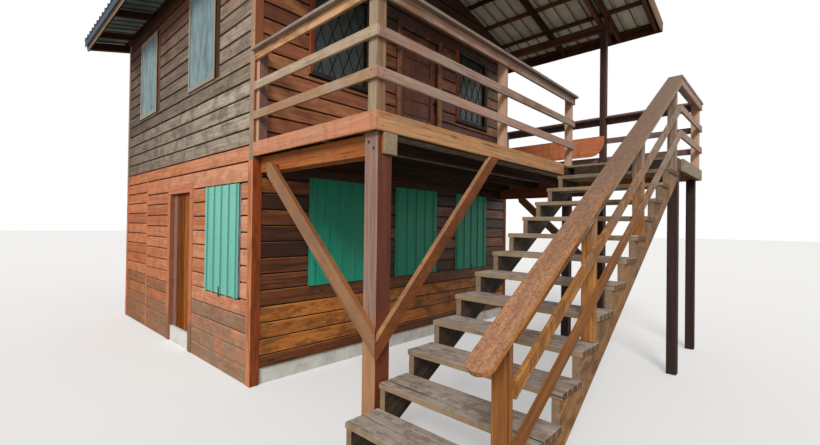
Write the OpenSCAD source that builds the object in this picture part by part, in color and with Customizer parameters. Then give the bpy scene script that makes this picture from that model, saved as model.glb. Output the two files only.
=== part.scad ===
// A two-storey timber house on a concrete floor, with a raised porch deck on braced posts,
// an open stair rising along the deck to a landing, and a low gable roof of ribbed metal.
// Millimetres. +Z is up, X runs across the gable, +Y runs from the porch to the back.
// The origin lies at ground level under the middle of the house's own footprint.

/* [House] */
// Width of the house across the gable, over its corner posts
house_w = 4950; // [4600:50:5600]
// Depth of the house from the front wall to the back wall, over its corner posts
house_d = 4720; // [4400:50:5400]
// Height of the deck and of the upper floor above the ground
floor_z = 2450; // [2380:10:2560]
// Height of the concrete floor inside the lower storey
slab_h = 167; // [120:1:190]
// Side of the square corner posts of the lower storey
corner_post = 100; // [80:5:120]
// Thickness of the wall frame behind the boards
wall_t = 70; // [50:5:75]
// Depth kept in front of the wall frame for its boards
board_t = 25; // [15:1:25]
// Height of the upper side walls above the upper floor
upper_wall_h = 2300; // [2200:10:2400]

/* [Entry door] */
// Clear height of the entry doorway above its sill
door_h = 1830; // [1700:10:1850]
// Clear width of the entry doorway
door_w = 730; // [600:10:760]
// Height of the concrete sill under the door
sill_h = 200; // [195:1:215]
// Distance from the front of the house to the near side of the doorway
door_from_front = 1710; // [1640:10:1900]
// Thickness of the door leaf
leaf_t = 36; // [25:1:40]
// Width of the casing board on each side of the doorway
casing_w = 110; // [60:5:120]
// Distance from the front of the house to the batten on the left wall
batten_from_front = 3500; // [3200:10:3700]
// Running gap round the door leaf
leaf_gap = 8; // [8:0.5:10]

/* [Shutters and windows] */
// Width of a ribbed lower shutter
shutter_w = 880; // [820:10:920]
// Height of a ribbed lower shutter
shutter_h = 1205; // [1100:5:1230]
// Height of the lower edge of the front shutters
shutter_z = 950; // [850:10:960]
// Height of the lower edge of the shutters on the side walls
side_shutter_z = 850; // [800:10:900]
// Distance between the ribs of a shutter or roof sheet
rib_pitch = 190; // [170:5:210]
// Width of an upper wall shutter
upper_shutter_w = 840; // [760:10:880]
// Height of an upper wall shutter
upper_shutter_h = 1230; // [1100:10:1250]
// Height of the sills of the upper windows above the upper floor
upper_sill = 865; // [800:5:880]
// Width of an upper front window over its frame
window_w = 900; // [820:10:940]
// Height of an upper front window over its frame
window_h = 1160; // [1080:10:1220]
// Distance from the left corner to the first front shutter
front_shutter_from_left = 660; // [630:10:700]
// Distance from one front shutter to the next, measured between their left edges
front_shutter_step = 1360; // [1330:10:1380]
// Distance from the front corner to the shutter of a lower side wall
side_shutter_from_front = 290; // [250:10:330]
// Distance from the front corner to the first shutter of an upper side wall
upper_shutter_from_front = 960; // [900:10:1020]
// Distance from the first to the second shutter of an upper side wall
upper_shutter_step = 2150; // [2080:10:2200]
// Distance from the left corner to the first upper front window
window_from_left = 640; // [600:10:680]
// Distance from the first to the second upper front window
window_step = 2720; // [2690:10:2760]
// Distance from the left corner to the upper front door
upper_door_from_left = 2010; // [1970:10:2050]
// Width of the upper front door over its frame
upper_door_w = 980; // [900:10:1060]
// Height of the upper front door over its frame
upper_door_h = 2020; // [1920:10:2040]

/* [Deck] */
// Distance that the deck reaches in front of the house
deck_d = 1815; // [1700:5:1950]
// Side of the square posts under the deck
deck_post = 140; // [120:5:150]
// Depth of the beams that cross the deck posts
beam_h = 160; // [140:5:180]
// Width of the beams that cross the deck posts
beam_w = 140; // [120:5:150]
// Depth of the deck joists
joist_h = 110; // [95:5:130]
// Width of the deck joists
joist_w = 45; // [38:1:60]
// Thickness of the deck boards
deck_board_t = 30; // [22:1:35]
// Thickness of the fascia boards and of the balustrade rails
trim_t = 25; // [18:1:30]
// Thickness of the deck braces
brace_t = 45; // [35:5:60]
// Width of the brace along the front
front_brace_w = 100; // [80:5:120]
// Width of the braces along the sides
side_brace_w = 125; // [100:5:140]
// Height at which the middle of the front brace crosses the middle of its post
brace_foot_z = 855; // [800:5:900]
// Angle of the front brace above the level
brace_angle = 45.5; // [42:0.5:50]

/* [Stair and landing] */
// Width of the stair
stair_w = 1200; // [1050:10:1250]
// Number of rises from the ground to the landing
rises = 14; // [13:1:15]
// Going of one tread
going = 295; // [270:5:310]
// Thickness of a tread plank
tread_t = 45; // [35:1:50]
// Width of one tread plank
plank_w = 142; // [120:1:144]
// Thickness of a stair stringer
stringer_t = 50; // [40:1:60]
// Wood left under the notches of a stringer, square to its slope
stringer_waist = 130; // [120:5:170]
// Distance that the stringers stand in from the ends of the treads
stringer_in = 17; // [10:1:40]
// Length of the landing along the stair
landing_l = 1550; // [1400:10:1600]
// Side of the posts under the landing
landing_post = 100; // [90:5:120]

/* [Balustrades] */
// Height of the balustrade cap above the deck
rail_top = 935; // [900:5:1000]
// Width of the balustrade caps
cap_w = 140; // [120:5:150]
// Thickness of the balustrade caps
cap_t = 30; // [25:1:35]
// Distance from the left side of the deck to the middle post of its front balustrade
front_post_from_left = 1800; // [1600:10:2000]
// Distance from the edge of the landing to the last post of the front balustrade
end_post_from_landing = 100; // [80:5:120]
// Depth of a balustrade side rail
rail_h = 82; // [60:1:95]
// Side of a balustrade post
rail_post = 90; // [75:5:100]
// Thickness of a stair post, along the stair
stair_post_t = 45; // [40:1:50]
// Width of a sloping stair rail, square to its slope
stair_rail_h = 76; // [60:1:90]
// Distance from the edge of the landing to the joint of the handrail and the landing cap
mitre_in = 145; // [135:1:180]
// Distance that the caps of the deck stand out past its rails
cap_over = 40; // [25:1:45]
// Distance that the handrail and the caps of the landing stand out past their rails
stair_cap_over = 10; // [5:1:20]

/* [Roof] */
// Side of the posts that carry the porch roof
roof_post = 90; // [75:5:100]
// Pitch of the roof in degrees
roof_pitch = 13; // [11:0.5:15]
// Overhang of the roof past the side walls, measured level
eave_over = 500; // [400:10:600]
// Overhang of the roof past the porch posts
verge_front = 620; // [500:10:700]
// Overhang of the roof past the back wall
verge_back = 700; // [500:10:800]
// Depth of the rafters
rafter_h = 100; // [80:5:120]
// Width of the rafters
rafter_w = 50; // [40:1:60]
// Side of the square purlins
purlin = 50; // [40:1:60]
// Depth of the wall plates under the rafters
plate_h = 100; // [80:5:120]
// Thickness of the roof sheets
sheet_t = 3; // [2:0.5:4]
// Height of the ribs of the roof sheets
rib_h = 26; // [18:1:32]
// Depth of the barge boards
barge_h = 150; // [120:5:170]
// Depth of the eave boards over the ends of the rafters
eave_board_h = 165; // [155:5:180]

/* [Hidden] */

// Boxes that only cut run this far past the faces they cut, or are longer than any piece
past = 10;
reach = house_w + house_d;

// The four faces of the house
left_x = -house_w / 2;
right_x = house_w / 2;
front_y = -house_d / 2;
back_y = house_d / 2;

// Storey heights
rim_h = 140;
floor_board_t = 30;
lower_top = floor_z - floor_board_t - rim_h;
wall_in = board_t + wall_t;
seat = 0.3;

// Entry doorway, on the left wall
sill_z = sill_h;
door_near_y = front_y + door_from_front;
door_far_y = door_near_y + door_w;
door_head_z = sill_z + door_h;
frame_t = 30;
frame_near_y = door_near_y - frame_t;
frame_far_y = door_far_y + frame_t;
frame_head_z = door_head_z + frame_t;
leaf_in = 4;
leaf_x = left_x + wall_in - leaf_in - leaf_t;

// Roof levels, measured at the outer faces of the side walls
wall_top = floor_z + upper_wall_h;
plate_top = wall_top + plate_h;
tan_p = tan(roof_pitch);
cos_p = cos(roof_pitch);
apex_in = plate_top + house_w / 2 * tan_p;
rafter_out = rafter_h / cos_p;
purlin_out = purlin / cos_p;
apex_purlin = apex_in + rafter_out;
apex_sheet = apex_purlin + purlin_out;
slope_len = (house_w / 2 + eave_over) / cos_p;
ridge_t = 40;
roof_front_y = front_y - deck_d - verge_front + trim_t;
roof_back_y = back_y + verge_back;

// Deck levels
deck_front_y = front_y - deck_d;
deck_under = floor_z - deck_board_t;
joist_z = deck_under - joist_h;
beam_z = joist_z - beam_h;
post_in = 48;
post_tongue = 37;
post_front_y = deck_front_y + trim_t;

// Stair, which rises along +X in front of the deck
riser = floor_z / rises;
slope = riser / going;
slope_a = atan(slope);
tread_gap = 8;
stair_far_y = deck_front_y - 2;
stair_near_y = stair_far_y - stair_w;
landing_end_x = right_x;
landing_x = landing_end_x - landing_l;
first_x = landing_x - 95 - (rises - 1) * going;
stair_post_y = stair_near_y + 20;
landing_near_y = stair_post_y - trim_t;
stringer_end_x = landing_x + 90;
top_tread_z = (rises - 1) * riser;

// Balustrade levels. The handrail meets the landing cap at mitre_x and falls from there with the stair
cap_top = floor_z + rail_top;
cap_z = cap_top - cap_t;
rail_levels = [floor_z + 230, floor_z + 525, cap_z - rail_h];
mitre_x = landing_x + mitre_in;

// A box between two corners
module box(x0, x1, y0, y1, z0, z1) {
  translate([x0, y0, z0]) cube([x1 - x0, y1 - y0, z1 - z0]);
}

// A wall slab along Y, with openings given as [from y, to y, from z, to z]
module side_slab(x0, x1, y0, y1, z0, z1, holes = []) {
  difference() {
    box(x0, x1, y0, y1, z0, z1);
    for (h = holes) box(x0 - past, x1 + past, h[0], h[1], h[2], h[3]);
  }
}

// A wall slab along X, with openings given as [from x, to x, from z, to z]
module front_slab(x0, x1, y0, y1, z0, z1, holes = []) {
  difference() {
    box(x0, x1, y0, y1, z0, z1);
    for (h = holes) box(h[0], h[1], y0 - past, y1 + past, h[2], h[3]);
  }
}

// Ground floor
module ground_slab() {
  color("gainsboro") difference() {
    union() {
      box(left_x + wall_in, right_x - wall_in, front_y + board_t, back_y - board_t, 0, slab_h);
      box(left_x + board_t, left_x + wall_in + 1, door_near_y, door_far_y, 0, sill_z);
    }
    corner_posts(slab_h + past);
  }
}
module corner_posts(top_z) {
  for (x = [left_x, right_x - corner_post], y = [front_y, back_y - corner_post])
    translate([x, y, 0]) cube([corner_post, corner_post, top_z]);
}

// Lower storey frame posts at the four corners, and one batten on the left wall
batten_w = 60;
batten_y = front_y + batten_from_front;
module lower_wall_posts() {
  color("chocolate") {
    corner_posts(lower_top);
    box(left_x + 5, left_x + board_t - seat, batten_y, batten_y + batten_w, 0, lower_top);
  }
}

// The openings behind the ribbed shutters
hole_margin = 60;
function hole(from, z, w, h) =
  [from + hole_margin, from + w - hole_margin, z + hole_margin, z + h - hole_margin];
front_shutter_x = [for (i = [0:2]) left_x + front_shutter_from_left + i * front_shutter_step];
side_shutter_y = front_y + side_shutter_from_front;

module front_wall_lower() {
  color("saddlebrown")
    front_slab(left_x + corner_post, right_x - corner_post, front_y + board_t, front_y + wall_in,
      slab_h, lower_top, [for (x = front_shutter_x) hole(x, shutter_z, shutter_w, shutter_h)]);
}
module left_wall_lower_front() {
  color("chocolate")
    side_slab(left_x + board_t, left_x + wall_in, front_y + corner_post, frame_near_y, 0, lower_top,
      [hole(side_shutter_y, side_shutter_z, shutter_w, shutter_h)]);
}
module left_wall_lower_rear() {
  color("chocolate")
    side_slab(left_x + board_t, left_x + wall_in, frame_far_y, back_y - corner_post, 0, lower_top);
}
module left_wall_over_door() {
  color("chocolate")
    side_slab(left_x + board_t, left_x + wall_in, frame_near_y, frame_far_y, frame_head_z, lower_top);
}
module right_wall_lower() {
  color("chocolate")
    side_slab(right_x - wall_in, right_x - board_t, front_y + corner_post, back_y - corner_post,
      0, lower_top,
      [hole(side_shutter_y, side_shutter_z, shutter_w, shutter_h)]);
}
module back_wall_lower() {
  color("chocolate")
    front_slab(left_x + corner_post, right_x - corner_post, back_y - wall_in, back_y - board_t,
      slab_h, lower_top);
}

// Entry door: jambs and head as one frame with casings, and a boarded leaf behind them
hinge_r = 7;
hinge_plate = 4;
hinge_h = 45;
hinge_x = leaf_x + leaf_t + hinge_r + 3;
hinge_y = door_far_y - leaf_gap - hinge_r;
hinge_zs = [sill_z + 150, door_head_z - 250];
module hinge_barrel(z0, z1) {
  translate([hinge_x, hinge_y, z0]) cylinder(r = hinge_r, h = z1 - z0, $fn = 32);
}
module entry_door_frame() {
  wall_x = left_x + wall_in;
  fx0 = left_x + board_t;
  color("peru") union() {
    difference() {
      box(fx0, wall_x, frame_near_y, frame_far_y, 0, frame_head_z);
      box(fx0 - past, wall_x + past, door_near_y, door_far_y, -past, door_head_z);
    }
    difference() {
      box(left_x + 3, fx0, door_near_y - casing_w, door_far_y + casing_w, 0, door_head_z + casing_w);
      box(left_x - past, fx0 + past, door_near_y, door_far_y, -past, door_head_z);
    }
    // The lower half of each hinge, on the inner face of the jamb
    for (z = hinge_zs) {
      hinge_barrel(z, z + hinge_h);
      box(wall_x - 1, wall_x + hinge_plate, hinge_y + 2, frame_far_y - 5, z, z + hinge_h);
    }
  }
}
// The leaf hangs on its far edge and opens into the room
ledge_t = 25;
ledge_h = 90;
low_ledge = 300;
high_ledge = 400;
module entry_door() {
  inner_x = leaf_x + leaf_t;
  near_y = door_near_y + leaf_gap;
  color("sienna") union() {
    box(leaf_x, inner_x, near_y, door_far_y - leaf_gap, sill_z + leaf_gap, door_head_z - leaf_gap);
    for (z = [sill_z + low_ledge, door_head_z - high_ledge])
      box(inner_x - 1, inner_x + ledge_t, near_y + 60, hinge_y - 60, z, z + ledge_h);
    // The upper half of each hinge rests on the lower one
    for (z = hinge_zs) {
      hinge_barrel(z + hinge_h + seat, z + 2 * hinge_h);
      box(inner_x - 1, inner_x + hinge_plate, hinge_y - 50, hinge_y, z + hinge_h + seat, z + 2 * hinge_h);
    }
  }
}

// A ribbed sheet: flat pans of thickness t with ribs of height h, drawn over length w in X
rib_top = 36;
rib_foot = 62;
function rib_outline(w, pitch, t, h) =
  let (n = floor((w - rib_foot) / pitch), start = (w - n * pitch) / 2)
  concat([[0, 0]], [for (i = [0:n]) each rib_points(start + i * pitch, 0, h)], [[w, 0]],
    [[w, t]], [for (i = [n:-1:0]) each reversed(rib_points(start + i * pitch, t, h))], [[0, t]]);
function rib_points(c, z, h) =
  [[c - rib_foot / 2, z], [c - rib_top / 2, z + h], [c + rib_top / 2, z + h], [c + rib_foot / 2, z]];
function reversed(a) = [for (i = [len(a) - 1:-1:0]) a[i]];

// A ribbed shutter seen from the front: its ribs stand proud of a frame against the wall
shutter_rib = 14;
shutter_frame = 26;
frame_rail = 60;
module shutter(w, h) {
  translate([0, -shutter_frame - shutter_rib - sheet_t, 0]) union() {
    translate([0, shutter_rib + sheet_t, 0]) mirror([0, 1, 0]) linear_extrude(h)
      polygon(rib_outline(w, rib_pitch, sheet_t, shutter_rib));
    difference() {
      translate([8, shutter_rib + sheet_t, 8]) cube([w - 16, shutter_frame, h - 16]);
      translate([frame_rail, 0, frame_rail]) cube([w - 2 * frame_rail, 100, h - 2 * frame_rail]);
    }
  }
}
module lower_shutters() {
  color("mediumturquoise") {
    for (x = front_shutter_x)
      translate([x, front_y + board_t - seat, shutter_z]) shutter(shutter_w, shutter_h);
    translate([left_x + board_t - seat, side_shutter_y + shutter_w, side_shutter_z]) rotate(-90)
      shutter(shutter_w, shutter_h);
    translate([right_x - board_t + seat, side_shutter_y, side_shutter_z]) rotate(90)
      shutter(shutter_w, shutter_h);
  }
}

// Upper floor: joists across the house, rims over their ends, and the boards
floor_spans = 8;
module floor_joists() {
  step = (house_d - 2 * board_t - joist_w) / floor_spans;
  color("burlywood") for (i = [0:floor_spans])
    translate([left_x + board_t + joist_w, front_y + board_t + i * step, lower_top])
      cube([house_w - 2 * board_t - 2 * joist_w, joist_w, rim_h]);
}
module floor_rims() {
  color("chocolate")
    for (x = [left_x + board_t, right_x - board_t - joist_w])
      translate([x, front_y + board_t, lower_top]) cube([joist_w, house_d - 2 * board_t, rim_h]);
}
module upper_floor() {
  color("burlywood")
    box(left_x + board_t, right_x - board_t, front_y + board_t, back_y - board_t,
      floor_z - floor_board_t, floor_z);
}

// Upper storey walls
corner_board = 90;
upper_shutter_y = [for (i = [0, 1]) front_y + upper_shutter_from_front + i * upper_shutter_step];
window_x = [for (i = [0, 1]) left_x + window_from_left + i * window_step];
upper_door_x = left_x + upper_door_from_left;
upper_z = floor_z + upper_sill;
module upper_corner_boards() {
  z0 = lower_top;
  color("peru")
    for (x = [0, 1], y = [0, 1]) mirror([x, 0, 0]) mirror([0, y, 0])
      translate([left_x, front_y, z0]) linear_extrude(wall_top - z0)
        polygon([[0, 0], [corner_board, 0], [corner_board, board_t - seat],
          [board_t - seat, board_t - seat], [board_t - seat, corner_board], [0, corner_board]]);
}
module left_wall_upper() {
  color("dimgray")
    side_slab(left_x + board_t, left_x + wall_in, front_y + board_t, back_y - board_t,
      floor_z, wall_top,
      [for (y = upper_shutter_y) hole(y, upper_z, upper_shutter_w, upper_shutter_h)]);
}
module right_wall_upper() {
  color("dimgray")
    side_slab(right_x - wall_in, right_x - board_t, front_y + board_t, back_y - board_t,
      floor_z, wall_top,
      [for (y = upper_shutter_y) hole(y, upper_z, upper_shutter_w, upper_shutter_h)]);
}
// A gable wall outline between the side walls, up to the underside of the rafters
module gable_outline() {
  edge = house_w / 2 - wall_in;
  polygon([[-edge, floor_z], [edge, floor_z], [edge, plate_top + wall_in * tan_p], [0, apex_in],
    [-edge, plate_top + wall_in * tan_p]]);
}
module front_wall_upper() {
  color("sienna") difference() {
    translate([0, front_y + wall_in, 0]) rotate([90, 0, 0]) linear_extrude(wall_t) gable_outline();
    for (x = window_x)
      box(x + frame_t, x + window_w - frame_t, front_y - past, front_y + wall_in + past,
        upper_z + frame_t, upper_z + window_h - frame_t);
    box(upper_door_x + frame_t, upper_door_x + upper_door_w - frame_t,
      front_y - past, front_y + wall_in + past, floor_z - past, floor_z + upper_door_h - frame_t);
  }
}
module back_wall_upper() {
  color("dimgray") difference() {
    translate([0, back_y - board_t, 0]) rotate([90, 0, 0]) linear_extrude(wall_t) gable_outline();
    for (x = window_x)
      box(x + frame_t, x + window_w - frame_t, back_y - wall_in - past, back_y + past,
        upper_z + frame_t, upper_z + window_h - frame_t);
  }
}

// Frames of the upper front windows and door, standing proud of the boards
window_face = 55;
door_face = 95;
frame_proud = 30;
module front_frame(x, w, z, h, face, bottom) {
  y0 = front_y + board_t - frame_proud - seat;
  difference() {
    box(x, x + w, y0, front_y + board_t - seat, z, z + h);
    box(x + face, x + w - face, y0 - past, front_y + board_t + past, z + bottom, z + h - face);
  }
}
module front_frames() {
  color("peru") {
    for (x = window_x) front_frame(x, window_w, upper_z, window_h, window_face, window_face);
    front_frame(upper_door_x, upper_door_w, floor_z + seat, upper_door_h, door_face, -past);
  }
}
pane_t = 12;
module window_panes() {
  y0 = front_y + board_t + 20;
  color("darkslategray")
    for (x = window_x)
      box(x + frame_t + seat, x + window_w - frame_t - seat, y0, y0 + pane_t, upper_z + frame_t + seat,
        upper_z + window_h - frame_t - seat);
}
module upper_door() {
  x0 = upper_door_x + frame_t + seat;
  x1 = upper_door_x + upper_door_w - frame_t - seat;
  z1 = floor_z + upper_door_h - frame_t - seat;
  y0 = front_y + board_t + 15;
  stile = 175;
  rail = stile * 0.6;
  panel_h = (z1 - floor_z - 2 * stile - 2 * rail) / 3;
  color("sienna") difference() {
    box(x0, x1, y0, y0 + leaf_t, floor_z + seat, z1);
    for (i = [0:2])
      translate([x0 + stile, y0 - past, floor_z + stile + i * (panel_h + rail)])
        cube([x1 - x0 - 2 * stile, past + 12, panel_h]);
  }
}

// A flat framed shutter for the upper storey
upper_shutter_t = 38;
module flat_shutter(w, h) {
  difference() {
    translate([0, -upper_shutter_t, 0]) cube([w, upper_shutter_t, h]);
    translate([55, -upper_shutter_t - 1, 55]) cube([w - 110, 9, h - 110]);
  }
}
module upper_shutters() {
  color("lightsteelblue") {
    for (y = upper_shutter_y) {
      translate([left_x + board_t - seat, y + upper_shutter_w, upper_z]) rotate(-90)
        flat_shutter(upper_shutter_w, upper_shutter_h);
      translate([right_x - board_t + seat, y, upper_z]) rotate(90)
        flat_shutter(upper_shutter_w, upper_shutter_h);
    }
    for (x = window_x)
      translate([x + window_w, back_y - board_t + seat, upper_z]) rotate(180)
        flat_shutter(window_w, window_h);
  }
}

// Deck posts: each front post has a notch for the end of its beam
mid_post = 100;
mid_post_x = stringer_end_x - 30;
module deck_posts() {
  far_y = post_front_y + deck_post;
  color("saddlebrown") {
    for (s = [0, 1]) mirror([s, 0, 0]) difference() {
      box(left_x + post_in, left_x + post_in + deck_post, post_front_y, far_y, 0, joist_z);
      box(beam_x, left_x + post_in + deck_post + past, post_front_y - past, far_y + past,
        beam_z, joist_z + past);
    }
    box(mid_post_x, mid_post_x + mid_post, post_front_y, post_front_y + mid_post, 0, joist_z);
    translate([stringer_end_x, stair_post_y, 0]) cube([landing_post, landing_post, joist_z]);
    translate([landing_end_x - trim_t - landing_post, stair_post_y + 40, 0])
      cube([landing_post, landing_post, joist_z]);
  }
}
// The two side beams in their notches, and the beam at the head of the stair
beam_x = left_x + post_in + post_tongue;
module deck_beams() {
  color("chocolate") {
    for (s = [0, 1]) mirror([s, 0, 0])
      box(beam_x, beam_x + beam_w, post_front_y - 20, front_y - seat, beam_z, joist_z);
    box(stringer_end_x, stringer_end_x + joist_w, stair_post_y + landing_post, post_front_y,
      beam_z, joist_z);
  }
}
module deck_joists() {
  spans = 3;
  step = (deck_d - 2 * trim_t - joist_w) / spans;
  far_y = deck_front_y - 60 - joist_w;
  head_y = stair_post_y + rail_post + 8;
  color("peru") {
    for (i = [0:spans])
      translate([left_x + trim_t, post_front_y + i * step, joist_z])
        cube([house_w - 2 * trim_t, joist_w, joist_h]);
    // Under the landing: one across its edge, and three that run along it
    box(landing_x, landing_x + joist_w, head_y, far_y + joist_w, joist_z, deck_under);
    for (y = [(stair_post_y + far_y) / 2, far_y])
      box(landing_x + joist_w + seat, landing_end_x - trim_t, y, y + joist_w, joist_z, deck_under);
    box(stringer_end_x, landing_end_x - trim_t, stair_post_y, stair_post_y + joist_w, joist_z, deck_under);
  }
}
module deck_boards() {
  color("tan")
    box(left_x + trim_t, right_x - trim_t, deck_front_y + trim_t, front_y - seat, deck_under, floor_z);
}
// The corner of the landing is cut away round the newel
module landing_boards() {
  color("tan") difference() {
    box(landing_x, landing_end_x - trim_t, stair_post_y, post_front_y - seat, deck_under, floor_z);
    box(landing_x - past, stringer_end_x, stair_post_y - past, stair_post_y + rail_post + 5,
      deck_under - past, floor_z + past);
  }
}
module side_fascias() {
  color("sandybrown") {
    box(left_x, left_x + trim_t, deck_front_y, front_y - seat, joist_z, floor_z);
    box(landing_end_x - trim_t, landing_end_x, stair_post_y, front_y - seat, joist_z, floor_z);
  }
}
module front_fascias() {
  color("sandybrown") {
    box(left_x + trim_t, landing_x - 180, deck_front_y, post_front_y, joist_z, floor_z);
    box(landing_x + 270, landing_end_x, landing_near_y, stair_post_y, joist_z, floor_z);
  }
}

// A brace seen square on, before it is cut: its middle line crosses the post at [mid, foot_z]
module brace_strip(mid, foot_z, angle, w) {
  translate([mid, foot_z]) rotate(angle) translate([-deck_d, -w / 2]) square([3 * deck_d, w]);
}
side_brace_lift = 30;
side_brace_end = 280;
side_brace_drop = 128;
side_brace_head = 95;
packer = 70;
brace_gap = 1.5;
module deck_braces() {
  post_x = left_x + post_in;
  post_mid_y = post_front_y + deck_post / 2;
  side_foot_z = brace_foot_z + side_brace_lift;
  side_end = front_y - side_brace_end - post_front_y;
  side_angle = atan((joist_z - side_brace_drop - side_foot_z) / (side_end - deck_post / 2));
  color("peru") {
    // Along the front, on the front face of the left post and up to the fascia
    intersection() {
      translate([0, post_front_y + 1, 0]) rotate([90, 0, 0]) linear_extrude(brace_t + 2)
        brace_strip(post_x + deck_post / 2, brace_foot_z, brace_angle, front_brace_w);
      translate([post_x, post_front_y, 0]) linear_extrude(joist_z)
        polygon([[brace_gap, 0], [-post_x, 0], [-post_x, -brace_t], [brace_gap - brace_t, -brace_t]]);
    }
    // Along each side, on the outer face of the post, with a packer behind its head against the
    // beam. The left one meets the front brace in an upright mitre at the corner of the post
    for (s = [0, 1]) mirror([s, 0, 0]) union() {
      intersection() {
        translate([post_x - brace_t - 1, 0, 0]) rotate([90, 0, 90]) linear_extrude(brace_t + 2)
          brace_strip(post_mid_y, side_foot_z, side_angle, side_brace_w);
        translate([post_x, post_front_y, 0]) linear_extrude(joist_z - side_brace_head)
          polygon([[0, brace_gap], [0, side_end], [-brace_t, side_end],
            [-brace_t, brace_gap - (1 - s) * brace_t]]);
      }
      translate([post_x - 1, post_front_y + side_end - packer - past, joist_z - 180])
        cube([post_tongue + 1, packer, packer]);
    }
  }
}

// Stair: two notched stringers, open treads of two planks, posts and sloping rails
function tread_x(i) = first_x + (i - 1) * going;
module stringer() {
  waist_z = stringer_waist / cos(slope_a);
  top_i = rises - 1;
  notch_z = riser + tread_t;
  notches = [for (i = [1:top_i], z = [(i - 1) * riser - tread_t, i * riser - tread_t])
    if (z > 0) [tread_x(i), z]];
  // The lower edge runs parallel to the slope, one waist below the notches
  function lower_z(x) = riser + (x - first_x) * slope - notch_z - waist_z;
  base_x = first_x + (notch_z + waist_z - riser) / slope;
  rotate([90, 0, 0]) linear_extrude(stringer_t)
    polygon(concat([[first_x, 0]], notches,
      [[stringer_end_x, top_tread_z - tread_t], [stringer_end_x, lower_z(stringer_end_x)], [base_x, 0]]));
}
module stair_stringers() {
  color("peru")
    for (y = [stair_far_y - stringer_in, stair_near_y + stringer_in + stringer_t])
      translate([0, y, 0]) stringer();
}
module stair_treads() {
  step = plank_w + tread_gap;
  color("darkgray") {
    for (i = [1:rises - 1], k = [0, 1])
      translate([tread_x(i) + k * step, stair_near_y, i * riser - tread_t])
        cube([plank_w, stair_w, tread_t]);
    // The top tread has a third plank, which runs in under the landing
    translate([tread_x(rises - 1) + 2 * step, stair_near_y, top_tread_z - tread_t])
      cube([stringer_end_x - 15 - tread_x(rises - 1) - 2 * step, stair_w, tread_t]);
  }
}

// A post under the handrail, from z0 up to the slanted underside of the rail
// Each stands on a tread, so far behind its nose
post_back = going - stair_post_t - 3;
post_spots = [[2, 15], [5, post_back], [9, post_back]];
first_post_x = tread_x(post_spots[0][0]) + post_spots[0][1];
newel_x = mitre_x - 125;
function line_z(x, depth) = cap_top + (x - mitre_x) * slope - depth;
cap_depth = cap_t / cos(slope_a);
module stair_post(x, z0) {
  x1 = x + stair_post_t;
  translate([0, stair_post_y + rail_post, 0]) rotate([90, 0, 0]) linear_extrude(rail_post)
    polygon([[x, z0], [x1, z0], [x1, line_z(x1, cap_depth) - seat], [x, line_z(x, cap_depth) - seat]]);
}
module stair_posts() {
  color("peru") {
    for (s = post_spots) stair_post(tread_x(s[0]) + s[1], s[0] * riser);
    stair_post(newel_x, top_tread_z);
  }
}
// Sloping rails on the outer faces of the posts, each meeting its level rail at a plumb joint.
// The lower two fall a little less steeply than the handrail, and the one under it tapers
rail_end_x = first_post_x + stair_post_t - 12;
rail_ease = 0.0195;
taper = 0.012;
module stair_rail(depth, top_ease, foot_ease) {
  foot = depth + stair_rail_h / cos(slope_a);
  run = mitre_x - rail_end_x;
  translate([0, stair_post_y, 0]) rotate([90, 0, 0]) linear_extrude(trim_t)
    polygon([[rail_end_x, line_z(rail_end_x, foot) + run * foot_ease], [mitre_x, line_z(mitre_x, foot)],
      [mitre_x, line_z(mitre_x, depth)], [rail_end_x, line_z(rail_end_x, depth) + run * top_ease]]);
}
module stair_rails() {
  color("peru") {
    stair_rail(cap_depth + seat, 0, taper);
    for (i = [0, 1]) stair_rail(cap_top - rail_levels[i] - rail_h, rail_ease, rail_ease);
  }
}
// The handrail: a flat plank with a rounded lower end, cut plumb where it meets the landing cap
handrail_past = 236;
handrail_round = 68;
module round_ended_plank(l, w, r) {
  translate([r, 0]) square([l - r, w]);
  translate([0, r]) square([r, w - 2 * r]);
  for (y = [r, w - r]) translate([r, y]) circle(r = r, $fn = 48);
}
module stair_handrail() {
  plank_l = (mitre_x - first_post_x + handrail_past) / cos(slope_a);
  plank_y = landing_near_y - stair_cap_over;
  color("sienna") intersection() {
    translate([mitre_x, plank_y, cap_top]) rotate([0, -slope_a, 0]) translate([-plank_l, 0, -cap_t])
      linear_extrude(cap_t) round_ended_plank(plank_l + 100, cap_w, handrail_round);
    box(mitre_x - reach, mitre_x, plank_y - past, plank_y + cap_w + past, 0, reach);
  }
}

// Level balustrades round the deck and the landing
front_post_xs = [left_x + front_post_from_left, landing_x + end_post_from_landing];
front_post_t = 50;
end_post_d = 60;
right_post_x = right_x - trim_t - roof_post;
module balustrade_posts() {
  rail_past = landing_end_x - trim_t - rail_post;
  color("burlywood") {
    box(left_x + trim_t, left_x + trim_t + rail_post, front_y - end_post_d, front_y - seat, floor_z, cap_z);
    for (x = front_post_xs)
      box(x, x + front_post_t, post_front_y, post_front_y + rail_post, floor_z, cap_z);
    translate([rail_past, stair_post_y, floor_z]) cube([rail_post, rail_post, cap_z - floor_z]);
    box(right_post_x, right_x - trim_t, front_y - end_post_d, front_y - seat, floor_z, cap_z);
  }
}
module side_rails() {
  color("burlywood") for (z = rail_levels) {
    box(left_x, left_x + trim_t, deck_front_y, front_y - seat, z, z + rail_h);
    box(landing_end_x - trim_t, landing_end_x, stair_post_y, front_y - seat, z, z + rail_h);
  }
}
module front_rails() {
  deck_end_x = front_post_xs[1] + front_post_t + 15;
  color("burlywood") for (z = rail_levels) {
    box(left_x + trim_t, deck_end_x, deck_front_y, post_front_y, z, z + rail_h);
    box(mitre_x, landing_end_x, landing_near_y, stair_post_y, z, z + rail_h);
  }
}
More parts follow.
